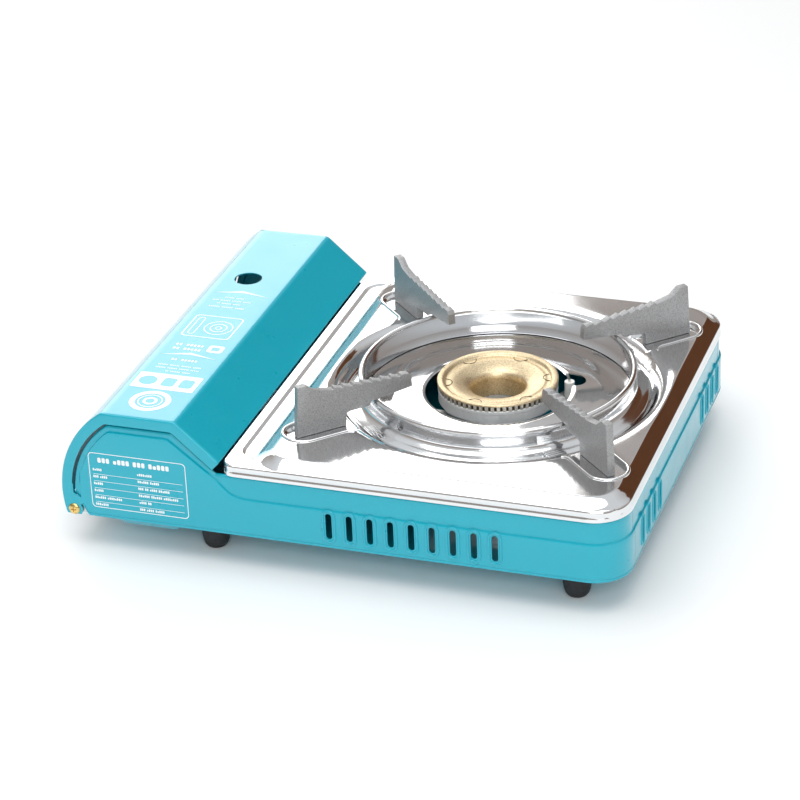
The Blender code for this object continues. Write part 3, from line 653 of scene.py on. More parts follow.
def build_walls():
    """Back, front and side wall with their slots, and the rims of the vents."""
    back = end_wall_mesh(Y_BACK, 1)
    slots = vent_cutter("Y", BACK_VENTS, Y_BACK - 4, Y_BACK + 2)
    rims = vent_rims([(x, Y_BACK, VENT_Z) for x in BACK_VENTS], (pi / 2, 0, 0))
    piece("back_wall", cut_mesh(back, slots), "teal_enamel", "case", ("back_panel",))
    piece("back_vent_rims", rims, "teal_enamel", "case", smooth=60)

    front = end_wall_mesh(Y_FRONT, -1)
    bore = prism_mesh([arc(KNOB, 5.0, 0, 351, 40)], "Y", Y_FRONT - 2, Y_FRONT + 4)
    slot = prism_mesh([slot_outline((LEVER_X, LEVER_SLOT_Z), 4.0, LEVER_SLOT)], "Y",
                      Y_FRONT - 2, Y_FRONT + 4)
    piece("front_wall", cut_mesh(front, bore, slot), "teal_enamel", "case", ("front_panel",))

    ends = (Y_FRONT + SEAM + 0.4, Y_BACK - SEAM - 0.4)
    columns = [(X_SIDE, y, -1, 0, Z_BASE, STEP_Z, Z_SKIRT) for y in np.linspace(*ends, 60)]
    side = solid_sheet(facing(loft_mesh(wall_surface(columns)), (-1, 0, 0)))
    slots = vent_cutter("X", SIDE_VENTS, X_SIDE - 2, X_SIDE + 4)
    rims = vent_rims([(X_SIDE, y, VENT_Z) for y in SIDE_VENTS], (pi / 2, 0, pi / 2))
    piece("side_wall", cut_mesh(side, slots), "teal_enamel", "case", ("side_panel",))
    piece("side_vent_rims", rims, "teal_enamel", "case", smooth=60)


# ---------------------------------------------------------------- top pressing

SKIRT_DROP = 5.7
BORDER_SLOPE = 8.6
SLOPE_RUN = 8.3
BAY_SLOPE_X, BAY_SLOPE_RATE = 40.0, 0.8
CHANNEL_DEPTH = 0.9
POCKET_BEAD = 1.2
GRID_STEP = 1.4
WELL_PROFILE = [(43, 63.1), (44, 63.5), (45.5, 63.6), (56, 62.4), (58.5, 62.2), (61, 61.9),
                (65, 60.7), (69, 60), (89, 60.15), (91.5, 61.2),
                (93, 63.4), (94.5, 66.0), (96.5, 67.9), (98.7, 68.8), (101.5, 69.25),
                (105, 69.45), (108, 69.5), (400, 69.5)]


def box_distance(points, low, high, radii):
    """Signed distance in plan to a rectangle with its own radius at --, +-, ++ and -+."""
    centre = (np.array(low) + np.array(high)) / 2
    half = (np.array(high) - np.array(low)) / 2
    q = points - centre
    radius = np.where(q[:, 0] < 0, np.where(q[:, 1] < 0, radii[0], radii[3]),
                      np.where(q[:, 1] < 0, radii[1], radii[2]))
    d = np.abs(q) - half + radius[:, None]
    outside = np.linalg.norm(np.maximum(d, 0), axis=1)
    return np.minimum(np.maximum(d[:, 0], d[:, 1]), 0) + outside - radius


def rim_distance(points):
    """Distance in plan to the outline of the top plate's rim."""
    return box_distance(points, (X_SIDE + 0.6, Y_FRONT + 0.5), (X_PLATE, Y_BACK - 0.5),
                        (21.5, 8, 8, 21.5))


def hole_distance(points):
    """Distance to the opening under the burner with the keyhole for the electrode."""
    way = np.array(ELECTRODE) - np.array(BURNER)
    key = np.array(BURNER) + way / np.linalg.norm(way) * KEYHOLE_REACH
    to_hole = np.linalg.norm(points - np.array(BURNER), axis=1) - HOLE_RADIUS
    to_key = np.linalg.norm(points - key, axis=1) - KEYHOLE_RADIUS
    return np.minimum(to_hole, to_key)


def pocket_distance(points):
    """Distance to the nearest of the four leg pockets."""
    nearest = np.full(len(points), 1e3)
    half = POCKET_WIDTH / 2
    for angle in LEGS.values():
        a = radians(angle)
        q = points - np.array(BURNER)
        along = q @ np.array((cos(a), sin(a)))
        across = q @ np.array((-sin(a), cos(a)))
        past = np.maximum(along - (POCKET_REACH - half), 0)
        reach = np.hypot(past, across) - half
        nearest = np.minimum(nearest, np.where(along > 0, reach, 1e3))
    return nearest


def moved_onto(points, field, chosen, level=0.0):
    """The chosen points slid along the field's slope until the field has that level."""
    step = 0.05
    for _ in range(2):
        value = field(points)
        slope = np.stack([(field(points + np.array(shift)) - value) / step
                          for shift in ((step, 0.0), (0.0, step))], axis=1)
        slope /= np.maximum(np.linalg.norm(slope, axis=1), 1e-6)[:, None]
        points = np.where(chosen[:, None], points - (value - level)[:, None] * slope, points)
    return points


def smooth_step(t):
    """Soft step from 0 to 1."""
    t = np.clip(t, 0, 1)
    return t * t * (3 - 2 * t)


def pressing_height(points):
    """Height of the pressed plate inside its rim."""
    stretched = points.copy()
    bay = stretched[:, 0] > BAY_SLOPE_X
    stretched[bay, 0] = BAY_SLOPE_X + (stretched[bay, 0] - BAY_SLOPE_X) * BAY_SLOPE_RATE
    deck = box_distance(stretched, (X_SIDE + 0.6 + BORDER_SLOPE, Y_FRONT + 0.5 + BORDER_SLOPE),
                        (BAY_SLOPE_X, Y_BACK - 0.5 - BORDER_SLOPE), (16, 10, 10, 16))
    t = np.clip(deck / SLOPE_RUN, 0, 1)
    crisp = np.where(bay, 0.8, 0.5)
    height = Z_DECK - (Z_DECK - Z_RIM) * (crisp * t + (1 - crisp) * smooth_step(t))
    channel = box_distance(points, (-300, Y_FRONT + 11), (61.6, Y_BACK - 11), (12, 12, 12, 12))
    height -= CHANNEL_DEPTH * smooth_step(-channel / 2.6) * smooth_step((points[:, 0] - 48.5) / 4)
    radius = np.linalg.norm(points - np.array(BURNER), axis=1)
    spots = np.array(WELL_PROFILE)
    height = np.minimum(height, np.interp(radius, spots[:, 0], spots[:, 1]))
    pocket = pocket_distance(points)
    lip = 0.2 * np.exp(-((pocket - 1.5) / 0.9) ** 2) * np.clip((radius - 95) / 4, 0, 1)
    tray = POCKET_FLOOR + np.clip((pocket + 0.9) / 1.3, 0, 1) * 2.4 + np.where(pocket > 0.4, 50, 0)
    return np.minimum(height + lip, tray)


def grid_lines(low, high):
    """Lines across the plate: close together over the skirt and the rim, even between."""
    out = [5.7, 5.2, 4.6, 3.6, 3.2, 2.9, 2.6, 2.2, 1.4, 0.7, 0.25, 0.0]
    inner = [0.25, 0.5, 0.75, 1.0, 1.5, 2.3, 3.4, 4.6, 5.8, 7.0, 7.9, 8.6, 9.3, 10.4]
    near, far = low + inner[-1], high - inner[-1]
    middle = np.linspace(near, far, int((far - near) / GRID_STEP) + 2)[1:-1]
    return np.array([low - o for o in out] + [low + i for i in inner] + list(middle)
                    + [high - i for i in inner[::-1]] + [high + o for o in out[::-1]])


def grid_of(xs, ys):
    """Points of a grid in plan and the corners of its quads."""
    grid_x, grid_y = np.meshgrid(xs, ys, indexing="ij")
    points = np.stack([grid_x.ravel(), grid_y.ravel()], axis=1)
    index = np.arange(len(points)).reshape(len(xs), len(ys))
    quads = np.stack([index[:-1, :-1], index[1:, :-1], index[1:, 1:], index[:-1, 1:]], axis=-1)
    return points, quads.reshape(-1, 4)


def grid_sheet(points, height, quads, upward):
    """Sheet through the grid points that the quads use, with its face up or down."""
    used, fresh = np.unique(quads, return_inverse=True)
    verts = np.column_stack([points[used], height[used]])
    mesh = mesh_of(verts.tolist(), fresh.reshape(-1, 4).tolist())
    return solid_sheet(facing(welded(mesh), (0, 0, upward)))


def top_pressing_mesh():
    """Skirt, rim, deck, well and pockets of the plate as one surface over a fitted grid."""
    xs = grid_lines(X_SIDE + 0.6, X_PLATE)
    ys = grid_lines(Y_FRONT + 0.5, Y_BACK - 0.5)
    points, quads = grid_of(xs, ys)
    radius = np.linalg.norm(points - np.array(BURNER), axis=1)
    for level in (-0.9, 0.4):
        near = (np.abs(pocket_distance(points) - level) < 0.45 * GRID_STEP) & (radius > 95)
        points = moved_onto(points, pocket_distance, near & (rim_distance(points) < -1), level)
    rim, hole = rim_distance(points), hole_distance(points)
    keep = (rim[quads] < SKIRT_DROP - 0.02).any(axis=1) & (hole[quads] > 0.05).any(axis=1)
    quads = quads[keep]
    points = moved_onto(points, hole_distance, hole < 0)
    drop = np.clip(rim, 0, SKIRT_DROP)
    height = pressing_height(points)
    edge = np.clip(rim + 1, 0, 1)
    height -= np.where(rim > -1, 1 - np.sqrt(1 - edge ** 2), 0)
    height = np.where(rim > 0, Z_RIM - 1 - drop, height)
    groove = 0.28 * np.exp(-((drop - 2.9) / 0.35) ** 2)
    flare = 0.35 * smooth_step((drop - 3.0) / 2.5)
    points = moved_onto(points, rim_distance, rim > 0)
    slope = np.stack([(rim_distance(points + s) - rim_distance(points - s)) / 0.1
                      for s in (np.array((0.05, 0.0)), np.array((0.0, 0.05)))], axis=1)
    points = points + np.where(rim > 0.01, flare - groove, 0)[:, None] * slope
    return grid_sheet(points, height, quads, 1)

def bead_tree():
    """A tree that sweeps a round bead along a path."""
    tree, group_in, group_out = new_tree("sweep_bead", ("Radius",))
    nodes, links = tree.nodes, tree.links
    path = nodes.new("GeometryNodeMeshToCurve")
    section = nodes.new("GeometryNodeCurvePrimitiveCircle")
    section.inputs["Resolution"].default_value = 14
    sweep = nodes.new("GeometryNodeCurveToMesh")
    sweep.inputs["Fill Caps"].default_value = True
    links.new(group_in.outputs["Geometry"], path.inputs["Mesh"])
    links.new(path.outputs["Curve"], sweep.inputs["Curve"])
    links.new(group_in.outputs["Radius"], section.inputs["Radius"])
    links.new(section.outputs["Curve"], sweep.inputs["Profile Curve"])
    end_tree(tree, group_in, group_out, sweep.outputs["Mesh"])
    return tree


def swept_bead(tree, path, radius, finish):
    """Round bead of a radius along a path."""
    mesh = bpy.data.meshes.new("path")
    mesh.from_pydata([[c * MM for c in p] for p in path],
                     [(i, i + 1) for i in range(len(path) - 1)], [])
    return through_tree(tree, mesh, finish, Radius=radius)


def pocket_path(angle):
    """Line round the open end of a leg pocket, from one side of its mouth to the other."""
    half = POCKET_WIDTH / 2 + 0.9
    tip = POCKET_REACH + 0.9
    shape = [(100.5, -half - 2.2, 0.55), (102.0, -half - 0.6, 0.2), (104.5, -half, 0)]
    shape += [(110.0, -half, 0), (116.0, -half, 0)]
    shape += [(x, y, 0) for x, y in arc((tip - half, 0), half, -90, 90, 25)]
    shape += [(116.0, half, 0), (110.0, half, 0)]
    shape += [(104.5, half, 0), (102.0, half + 0.6, 0.2), (100.5, half + 2.2, 0.55)]
    turn = Matrix.Rotation(radians(angle), 2)
    path = []
    for along, across, drop in shape:
        spot = turn @ Vector((along, across))
        path.append((BURNER[0] + spot.x, BURNER[1] + spot.y, Z_DECK - 0.15 - drop))
    return path


def build_top_plate():
    """The pressed plate and the beads round its leg pockets."""
    piece("top_pressing", top_pressing_mesh(), "polished_steel", "case", ("top_plate",),
          smooth=38)
    tree = bead_tree()
    beads = [swept_bead(tree, pocket_path(angle), POCKET_BEAD, "polished_steel")
             for angle in LEGS.values()]
    piece("pocket_beads", joined(*beads), "polished_steel", "case", smooth=60)


# ---------------------------------------------------------------- cartridge bay cover

def cover_mesh():
    """Bent cover sheet with soft bends, end flanges and two vent holes."""
    sections = [(FLANGE, 0.0), (FLANGE - 0.3, 0.0), (3.2, 0.0), (1.2, 0.0), (0.5, 0.12),
                (0.15, 0.45), (0.0, 1.0), (0.0, 3.0)]
    rows = []
    for inset, along in sections:
        rows.append(cover_row(inset, Y_FRONT + along))
    rows += [cover_row(0.0, y) for y in np.linspace(Y_FRONT + 20, Y_BACK - 20, 8)]
    for inset, along in sections[::-1]:
        rows.append(cover_row(inset, Y_BACK - along))
    sheet = solid_sheet(facing(loft_mesh(rows), (0, 0, 1)))
    side = Vector((cos(radians(VENT_ANGLE)), 0, sin(radians(VENT_ANGLE))))
    foot = Vector((BAY_ARC[0], COVER_HOLE[1], BAY_ARC[1]))
    top_hole = prism_mesh([arc(COVER_HOLE, COVER_HOLE_RADIUS, 0, 352, 46)], "Z", 80, 95)
    side_hole = prism_mesh([arc((0, 0), COVER_HOLE_RADIUS, 0, 352, 46)], "Z", 55, 70)
    turn = Vector((0, 0, 1)).rotation_difference(side).to_matrix().to_4x4()
    side_hole.transform(Matrix.Translation(foot * MM) @ turn)
    return cut_mesh(sheet, top_hole, side_hole)


def cover_row(inset, y):
    """One cross-section of the cover with its ridge and top edge bent to a small radius."""
    outline = cover_outline(inset, count=56)
    side, ridge, lip = outline[:-2], outline[-2], outline[-1]
    x, z = ridge
    way = (Vector(lip) - Vector(ridge)).normalized()
    bend = [(x + 2.6, z), (x + 1.2, z - 0.06), (x + 0.1, z - 0.35)]
    bend += [(x + way.x * d, z + way.y * d) for d in (1.4, 2.7)]
    slope = [(x + (lip[0] - x) * t, z + (lip[1] - z) * t) for t in (0.3, 0.6, 0.9)]
    flat = [(side[-1][0] + (x + 2.6 - side[-1][0]) * t, z) for t in (0.1, 0.5, 0.9)]
    hem = [(lip[0] - 0.9, lip[1] - 0.8), (lip[0] - 1.15, lip[1] - 1.4)]
    return [(px, y, pz) for px, pz in side + flat + bend + slope + [lip] + hem]


def ear_mesh(y_low, y_high):
    """Hinge ear that grows out of the end flange in a soft curve round the screw."""
    low_z = Z_BASE + 0.2
    flange_edge = [(HINGE[0] - 6.4, HINGE[1] + 4.6), (HINGE[0] - 5.6, HINGE[1] + 7.6)]
    flange_edge += arc(BAY_ARC, COVER_RADIUS - FLANGE - 0.6, -1, 5, 4)
    outer_edge = arc(BAY_ARC, COVER_RADIUS - 0.4, 5, -10, 5)
    disc = [p for p in arc(HINGE, EAR_RADIUS, 20, -215, 30) if p[1] > low_z]
    outline = outer_edge + disc + flange_edge
    hole = arc(HINGE, 2.35, 0, 345, 24)
    return prism_mesh([outline, hole], "Y", y_low, y_high)


def white_shapes():
    """Outlines in plan of the generic marks printed on the cover's flat top."""
    shapes = []
    badge = (116.3, 117.0)
    shapes.append([arc(badge, 12.2, 0, 354, 60), arc(badge, 8.8, 0, 354, 60)])
    shapes.append([arc(badge, 7.4, 0, 354, 60), arc(badge, 6.6, 0, 354, 60)])
    shapes.append([arc(badge, 4.4, 0, 354, 40), arc(badge, 2.6, 0, 354, 40)])
    shapes.append([rounded_rectangle((96.5, 83.5), (135.5, 102.5), 1.0),
                   rounded_rectangle((99.5, 88), (107.5, 98), 2.0),
                   rounded_rectangle((110.5, 88), (118.5, 98), 2.0),
                   arc((127.5, 93), 5.4, 0, 345, 24)])
    for low_x, high_x, y, height in ((107, 123, 79.2, 1.2), (103, 130, 75.4, 1.2),
                                     (103, 130, 71.6, 1.2), (108.5, 125, 63.4, 2.4),
                                     (112, 131, 49.2, 2.6), (112, 131, 44.0, 2.6),
                                     (107, 130, -8.5, 1.4), (111, 127, -13.2, 1.2),
                                     (106, 131, -17.4, 1.2), (112, 126, -21.6, 1.2)):
        x, count = low_x, 0
        width = height * 0.62
        while x < high_x - width:
            if count % 7 != 5:
                shapes.append([rounded_rectangle((x, y), (x + width, y + height), width * 0.3, 3)])
            x += width * 1.4
            count += 1
    shapes.append([rounded_rectangle((98.8, 42.5), (108.6, 51.6), 2.2),
                   rounded_rectangle((101.2, 44.8), (106.2, 49.3), 1.2)])
    for low_y in (54.6, -31.6):
        shapes.append([[(98.0, low_y + 5.4), (116.0, low_y), (134.0, low_y + 5.4),
                        (116.0, low_y + 2.4)]])
    shapes.append([rounded_rectangle((101, 5), (132, 34), 3),
                   rounded_rectangle((101.9, 5.9), (131.1, 33.1), 2.4)])
    for radius in (9.0, 5.4, 2.2):
        shapes.append([arc((112.5, 20), r, 0, 352, 48) for r in (radius, radius - 0.8)])
    shapes.append([rounded_rectangle((124.5, 8), (129, 31), 2.0),
                   rounded_rectangle((125.2, 8.7), (128.3, 30.3), 1.4)])
    return shapes


PRINT_LIFT = 0.07


def build_cover():
    """Cover sheet with its hinge ears, and the marks printed on it."""
    cover = cover_mesh()
    back_ear = ear_mesh(Y_BACK - 0.75, Y_BACK - 0.02)
    front_ear = ear_mesh(Y_FRONT + 0.02, Y_FRONT + 0.75)
    piece("cover_shell", joined(cover, back_ear, front_ear), "teal_enamel", "cover",
          ("cartridge_cover",), smooth=38)
    prints = [prism_mesh(outlines, "Z", COVER_TOP, COVER_TOP + PRINT_LIFT)
              for outlines in white_shapes()]
    piece("cover_prints", joined(*prints), "white_print", "cover")


def word_bars(x, z, groups, width, gap, height):
    """Plain short bars in groups, running from x towards the burner side."""
    shapes = []
    for count in groups:
        for k in range(count):
            tall = height * (1.0 if (k * 3 + count) % 4 else 0.72)
            shapes.append([rounded_rectangle((x - width, z), (x, z + tall), width * 0.3, 3)])
            x -= width + gap
        x -= width * 0.9
    return shapes


TABLE_ROWS = [((7,), (3, 4, 5)), ((6, 8), (4, 2)), ((5,), (6, 6, 8)), ((5,), (3, 2, 4, 6)),
              ((3, 4), (6, 5)), ((5,), (8,))]


def build_plate_print():
    """Framed table printed on the bay's end wall, with plain bars for its lines."""
    y = Y_BACK
    low, high = (88.3, 26.7), (148.3, 62.6)
    shapes = [[rounded_rectangle(low, high, 2.6, 9),
               rounded_rectangle([c + 0.45 for c in low], [c - 0.45 for c in high], 2.2, 9)]]
    shapes += [[rounded_rectangle((90.8, 30.4 + 4.55 * i), (145.8, 30.62 + 4.55 * i), 0.1, 2)]
               for i in range(5)]
    shapes += word_bars(142.5, 56.4, (3, 4, 3, 5), 2.05, 0.55, 3.2)
    for row, (first, second) in enumerate(TABLE_ROWS):
        for x, groups in ((146.0, first), (118.5, second)):
            shapes += word_bars(x, 28.1 + 4.55 * row, groups, 0.85, 0.3, 1.6)
    prints = [prism_mesh(outlines, "Y", y, y + PRINT_LIFT) for outlines in shapes]
    piece("plate_print", joined(*prints), "white_print", "case")


def build_hinge_screws():
    """Pan-head screws with a cross recess."""
    x, z = HINGE
    for name, y, side in (("back", Y_BACK, 1), ("front", Y_FRONT, -1)):
        head = [(0, 1.45), (1.0, 1.42), (2.0, 1.25), (2.9, 0.85), (3.45, 0.3), (3.5, 0.05),
                (2.0, 0.0), (2.0, -7.0), (0, -7.0)]
        mesh = turned_mesh(head, steps=48)
        mesh.transform(Matrix.Translation((x * MM, (y + side * 0.05) * MM, z * MM))
                       @ Matrix.Rotation(-side * pi / 2, 4, "X"))
        face = y + side * 1.5
        slots = []
        for half_x, half_z in ((1.7, 0.32), (0.32, 1.7)):
            outline = rounded_rectangle((x - half_x, z - half_z), (x + half_x, z + half_z), 0.1, 3)
            slots.append(prism_mesh([outline], "Y", face - 0.9, face + 0.5))
        piece(f"hinge_screw_{name}_head", cut_mesh(mesh, *slots), "screw_brass", "case",
              (f"hinge_screw_{name}",))


# ---------------------------------------------------------------- pan support and burner

def leg_outline():
    """Side of a leg as (distance from the burner's axis, height), with rounded serrations."""
    foot, top = POCKET_FLOOR + 0.3, PAN_HEIGHT
    points = [(LEG_REACH, foot), (LEG_REACH - 1.8, top), (LEG_REACH - 7.3, top),
              (LEG_REACH - 12.8, top - 4.5)]
    for tooth in range(SERRATIONS):
        r = LEG_REACH - 23.5 - 6.05 * tooth
        z = top - 6.7 - 0.42 * tooth
        points += [(r + 0.5, z + 0.1), (r, z), (r - 0.4, z + 0.1), (r - 1.3, z + 1.15),
                   (r - 1.7, z + 1.2)]
    tip = LEG_REACH - 73.8
    points += [(tip + 1.8, top - 8.9), (tip + 0.4, top - 11), (tip, top - 17.4),
               (RING_RADIUS + 3.6, RING_TOP + 0.5), (RING_RADIUS + 4.4, RING_TOP - 0.4),
               (RING_RADIUS + 4.8, RING_TOP - 1.6), (RING_RADIUS + 6.0, RING_TOP - 2.2),
               (LEG_REACH - 33.8, RING_TOP - 2.2), (LEG_REACH - 31.8, RING_TOP - 2.8),
               (LEG_REACH - 31.1, RING_TOP - 4.4), (LEG_REACH - 30.9, foot)]
    return points


def build_legs():
    """Four blasted legs, each a plate with rounded edges."""
    for name, angle in LEGS.items():
        mesh = bevelled(prism_mesh([leg_outline()], "Y", -LEG_HALF_THICKNESS,
                                   LEG_HALF_THICKNESS), 0.45, 3, 30)
        mesh.transform(Matrix.Translation((BURNER[0] * MM, BURNER[1] * MM, 0))
                       @ Matrix.Rotation(radians(angle), 4, "Z"))
        piece(f"leg_{name}_blasted", mesh, "cast_grey", "pan_support", (f"leg_{name}",))


def build_wind_ring():
    """Ring with a rolled top bead and a flared foot, and four spring ribs by each leg."""
    r, top = RING_RADIUS, RING_TOP
    bead = arc((r + 0.2, top - 1.9), 1.9, 250, -70, 20)
    profile = bead + [(r + 0.75, 70), (r + 0.7, 67.6), (r + 1.2, 66.2), (r + 2.6, 64.9),
                      (r + 5.2, 63.7), (r + 8.3, 63.0), (r + 8.9, 62.6), (r + 8.95, 61.0),
                      (r + 8.4, 60.5), (r + 1.0, 60.4), (r - 0.1, 60.5), (r - 0.3, 61.0),
                      (r - 0.3, 67.5), (r - 0.2, 70)]
    piece("wind_ring", turned_mesh(profile, BURNER, 144, ring=True), "ring_steel", "pan_support",
          ("support_ring",))
    spots, turns = [], []
    for angle, side in zip(LEGS.values(), (1, -1, 1, -1)):
        turn = Matrix.Rotation(radians(angle), 2)
        for k in range(TAB_RIBS):
            spot = turn @ Vector((84.6 + 1.9 * k, side * 11.5))
            spots.append((BURNER[0] + spot.x, BURNER[1] + spot.y, 65.2))
            turns.append((pi / 2, 0, radians(angle)))
    ribs = repeated("bar", spots, turns, (1.3, 1.0, 11.0), "ring_steel")
    piece("spring_ribs", ribs, "ring_steel", "pan_support", smooth=60)


def build_burner():
    """Crown with its ports and marks, a dark ring painted as the shade in the gaps between its
    teeth, and the bowl under it.
    """
    top = CAP_TOP
    cap = [(14.6, 52), (15.8, 62), (16.4, top - 6.0), (17.4, top - 5.0), (19.2, top - 3.9),
           (22.0, top - 2.8), (25.0, top - 2.0), (27.4, top - 1.6), (28.2, top - 1.65),
           (28.6, top - 1.75), (30.6, top - 1.75), (31.0, top - 1.65), (31.5, top - 0.9),
           (32.0, top - 0.3), (32.6, top - 0.05), (33.1, top), (34.9, top), (35.4, top - 0.12),
           (35.7, top - 0.45), (35.7, top - 1.2), (35.3, top - 1.45), (34.2, top - 1.5),
           (34.2, 63.6), (30, 63.6), (30, 66), (19, 62.5), (17.4, 52)]
    piece("burner_crown", turned_mesh(cap, BURNER, 144, ring=True), "brass", "case",
          ("burner_cap",), smooth=50)
    spots, turns = around(34.7, top - 2.95, CROWN_TEETH)
    piece("crown_teeth", repeated("block", spots, turns, (1.5, 1.9, 2.9), "tooth_metal"),
          "tooth_metal", "case")
    # Painted shade: a thin dark ring behind the teeth stands for the shade in the gaps between
    # them.
    dark = [(34.35, top - 1.5), (34.35, 66.4), (34.25, 66.4), (34.25, top - 1.5)]
    piece("port_shadow", turned_mesh(dark, BURNER, 96, ring=True), "oxide_and_port_shade", "case")
    marks = []
    for k in range(CROWN_MARKS):
        angle = 20 + 360 / CROWN_MARKS * k
        spot = (BURNER[0] + 31.2 * cos(radians(angle)), BURNER[1] + 31.2 * sin(radians(angle)))
        inward = angle + 180
        outer = arc(spot, 4.6, inward - 82, inward + 82, 20)
        inner = arc(spot, 4.2, inward + 82, inward - 82, 20)
        marks.append(prism_mesh([outer + inner], "Z", top - 2.6, top - 1.52))
    piece("crown_marks", joined(*marks), "oxide_and_port_shade", "case")
    base = [(34.2, 66.6), (35.1, 66.6), (35.4, 66.3), (35.4, 64.6), (35.0, 64.2), (35.1, 61.6),
            (35.3, 58.9), (34.0, 57.0), (25, 52), (20, 50), (20, 38.3), (17.5, 38.3),
            (17.6, 51), (23.5, 53.8), (31.5, 59.5), (34.2, 61)]
    piece("burner_bowl", turned_mesh(base, BURNER, 96, ring=True), "base_casting", "case",
          ("burner_base",))


# ---------------------------------------------------------------- controls and feet

def build_knob():
    """Ribbed knob with a raised grip bar, a white pointer and a dial with plain ticks."""
    x, z = KNOB
    to_front = Matrix.Translation((x * MM, 0, z * MM)) @ Matrix.Rotation(pi / 2, 4, "X")
    face = -KNOB_FACE
    profile = [(0, face - 3.8), (8.6, face - 3.8), (9.2, face - 3.2), (9.6, face - 0.6),
               (10.2, face), (12.4, face), (13.4, face - 0.3), (14.1, face - 1.2),
               (15.2, face - 14), (15.5, face - 15), (15.5, 123.4), (15.1, 123.1), (0, 123.1)]
    body = turned_mesh(profile, steps=96)
    body.transform(to_front)
    spots, turns = [], []
    for k in range(KNOB_RIBS):
        a = 2 * pi * k / KNOB_RIBS
        spots.append((14.6 * cos(a), 14.6 * sin(a), face - 8.5))
        turns.append((0, 0, a))
    ribs = repeated("bar", spots, turns, (1.5, 1.0, 12.5), "black_plastic")
    ribs.transform(to_front)
    grip = bevelled(prism_mesh([rounded_rectangle((x - 2.2, z - 8.4), (x + 2.2, z + 8.4), 1.8)],
                               "Y", -face + 0.1, -face + 4.2), 0.5)
    piece("knob_grip", joined(body, ribs, grip), "black_plastic", "knob", ("knob",))
    line = prism_mesh([rounded_rectangle((x - 0.6, z + 2.0), (x + 0.6, z + 8.0), 0.5, 4)], "Y",
                      -face + 0.1 - PRINT_LIFT, -face + 0.2)
    piece("knob_pointer", line, "white_print", "knob")
    plate = prism_mesh([arc(KNOB, 17.6, 0, 356, 90), arc(KNOB, 5.2, 0, 345, 24)], "Y",
                       Y_FRONT - 1.1, Y_FRONT - 0.3)
    piece("dial_plate", bevelled(plate, 0.15, 1), "zinc_plate", "case", ("knob_dial",))
    spots, turns = [], []
    for k in range(DIAL_TICKS):
        a = radians(90 - 15 * k)
        spots.append((x + 16.6 * cos(a), Y_FRONT - 1.1, z + 16.6 * sin(a)))
        turns.append((0, -a, 0))
    ticks = repeated("block", spots, turns, (1.4, 0.1, 0.5), "black_plastic")
    piece("dial_ticks", ticks, "black_plastic", "case")


def build_feet():
    """Four rubber feet, slightly tapered."""
    for name, centre in FEET.items():
        profile = [(0, 23.6), (2.9, 23.6), (2.9, 20.0), (8.3, 20.0), (8.6, 19.6), (8.4, 14),
                   (8.1, 8), (7.6, 4.6), (6.9, 2.3), (5.8, 0.8), (4.6, 0.1), (3.8, 0), (0, 0)]
        piece(f"{name}_dome", turned_mesh(profile, centre, 48), "black_rubber", "case", (name,))


def build_lever():
    """Lock lever with ribs, its stem and its shoe behind the wall."""
    low = (LEVER_X - 7, Y_FRONT - 8, LEVER_Z - 5)
    cap = prism_mesh([rounded_rectangle((low[0], low[2]), (LEVER_X + 7, LEVER_Z + 5), 2.2)], "Y",
                     Y_FRONT - 8, Y_FRONT - 0.8)
    spots = [(LEVER_X, Y_FRONT - 8, LEVER_Z - 3 + 2 * k) for k in range(4)]
    ribs = repeated("block", spots, [(0, 0, 0)] * 4, (10.0, 0.6, 0.8), "black_plastic")
    stem = prism_mesh([rounded_rectangle((LEVER_X - 1.6, LEVER_Z - 1.8),
                                         (LEVER_X + 1.6, LEVER_Z + 1.8), 0.3)], "Y",
                      Y_FRONT - 1.5, Y_FRONT + 5.5)
    shoe = prism_mesh([rounded_rectangle((LEVER_X - 7, LEVER_Z - 22),
                                         (LEVER_X + 7, LEVER_Z + 4), 0.8)], "Y",
                      Y_FRONT + 4.5, Y_FRONT + 6.5)
    piece("lever_grip", joined(bevelled(cap, 0.9, 3), ribs, stem, shoe), "black_plastic", "lever",
          ("lock_lever",))


# ---------------------------------------------------------------- bottom plate

def bottom_height(points):
    """Underside of the bottom plate, with the trough and a shallow swelling beside it."""
    trough = box_distance(points, (95, -84), (136.5, 137.0), (7, 7, 5, 5))
    swell = box_distance(points, (52, 96), (100, 137.0), (10, 10, 5, 5))
    depth = 5.0 * smooth_step(1 - (trough + 4) / 5)
    depth = np.maximum(depth, 1.6 * smooth_step(1 - (swell + 8) / 9))
    return Z_BASE + 0.3 - depth


def bottom_pan_mesh():
    """Bottom plate as a fitted grid with rounded corners."""
    low, high = (X_SIDE + 1.1, Y_FRONT + 1.1), (151.0, Y_BACK - 1.1)
    radii = (20.9, 2, 2, 20.9)
    xs = np.linspace(low[0] - 2, high[0] + 2, 160)
    ys = np.linspace(low[1] - 2, high[1] + 2, 130)
    points, quads = grid_of(xs, ys)
    distance = box_distance(points, low, high, radii)
    quads = quads[(distance[quads] < -0.02).any(axis=1)]
    points = moved_onto(points, lambda p: box_distance(p, low, high, radii), distance > 0)
    return grid_sheet(points, bottom_height(points), quads, -1)

def build_bottom():
    piece("bottom_pan", bottom_pan_mesh(), "teal_enamel", "case", ("bottom_plate",))


# ---------------------------------------------------------------- carried-over pieces

NODE_FINISHES = {
    "zinc_plate": ("bay_wall", "carriage", "link_bar", "cartridge_guide", "burner_bracket",
                   "heat_strip", "electrode_bracket", "electrode_pin", "air_shutter",
                   "hinge_bracket_back", "hinge_bracket_front"),
    "cast_grey": ("regulator", "valve_block", "mixing_tube"),
    "brass": ("inlet_collar", "transfer_pipe", "gas_nozzle", "spindle"),
    "white_ceramic": ("electrode_ceramic", "igniter_plunger", "spindle_cam"),
    "black_plastic": ("igniter_body",),
    "red_wire": ("ignition_wire",),
}


def finish_cad_nodes():
    for finish, names in NODE_FINISHES.items():
        for name in names:
            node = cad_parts[name]
            node.data.materials.clear()
            node.data.materials.append(FINISHES[finish])


# ---------------------------------------------------------------- stage

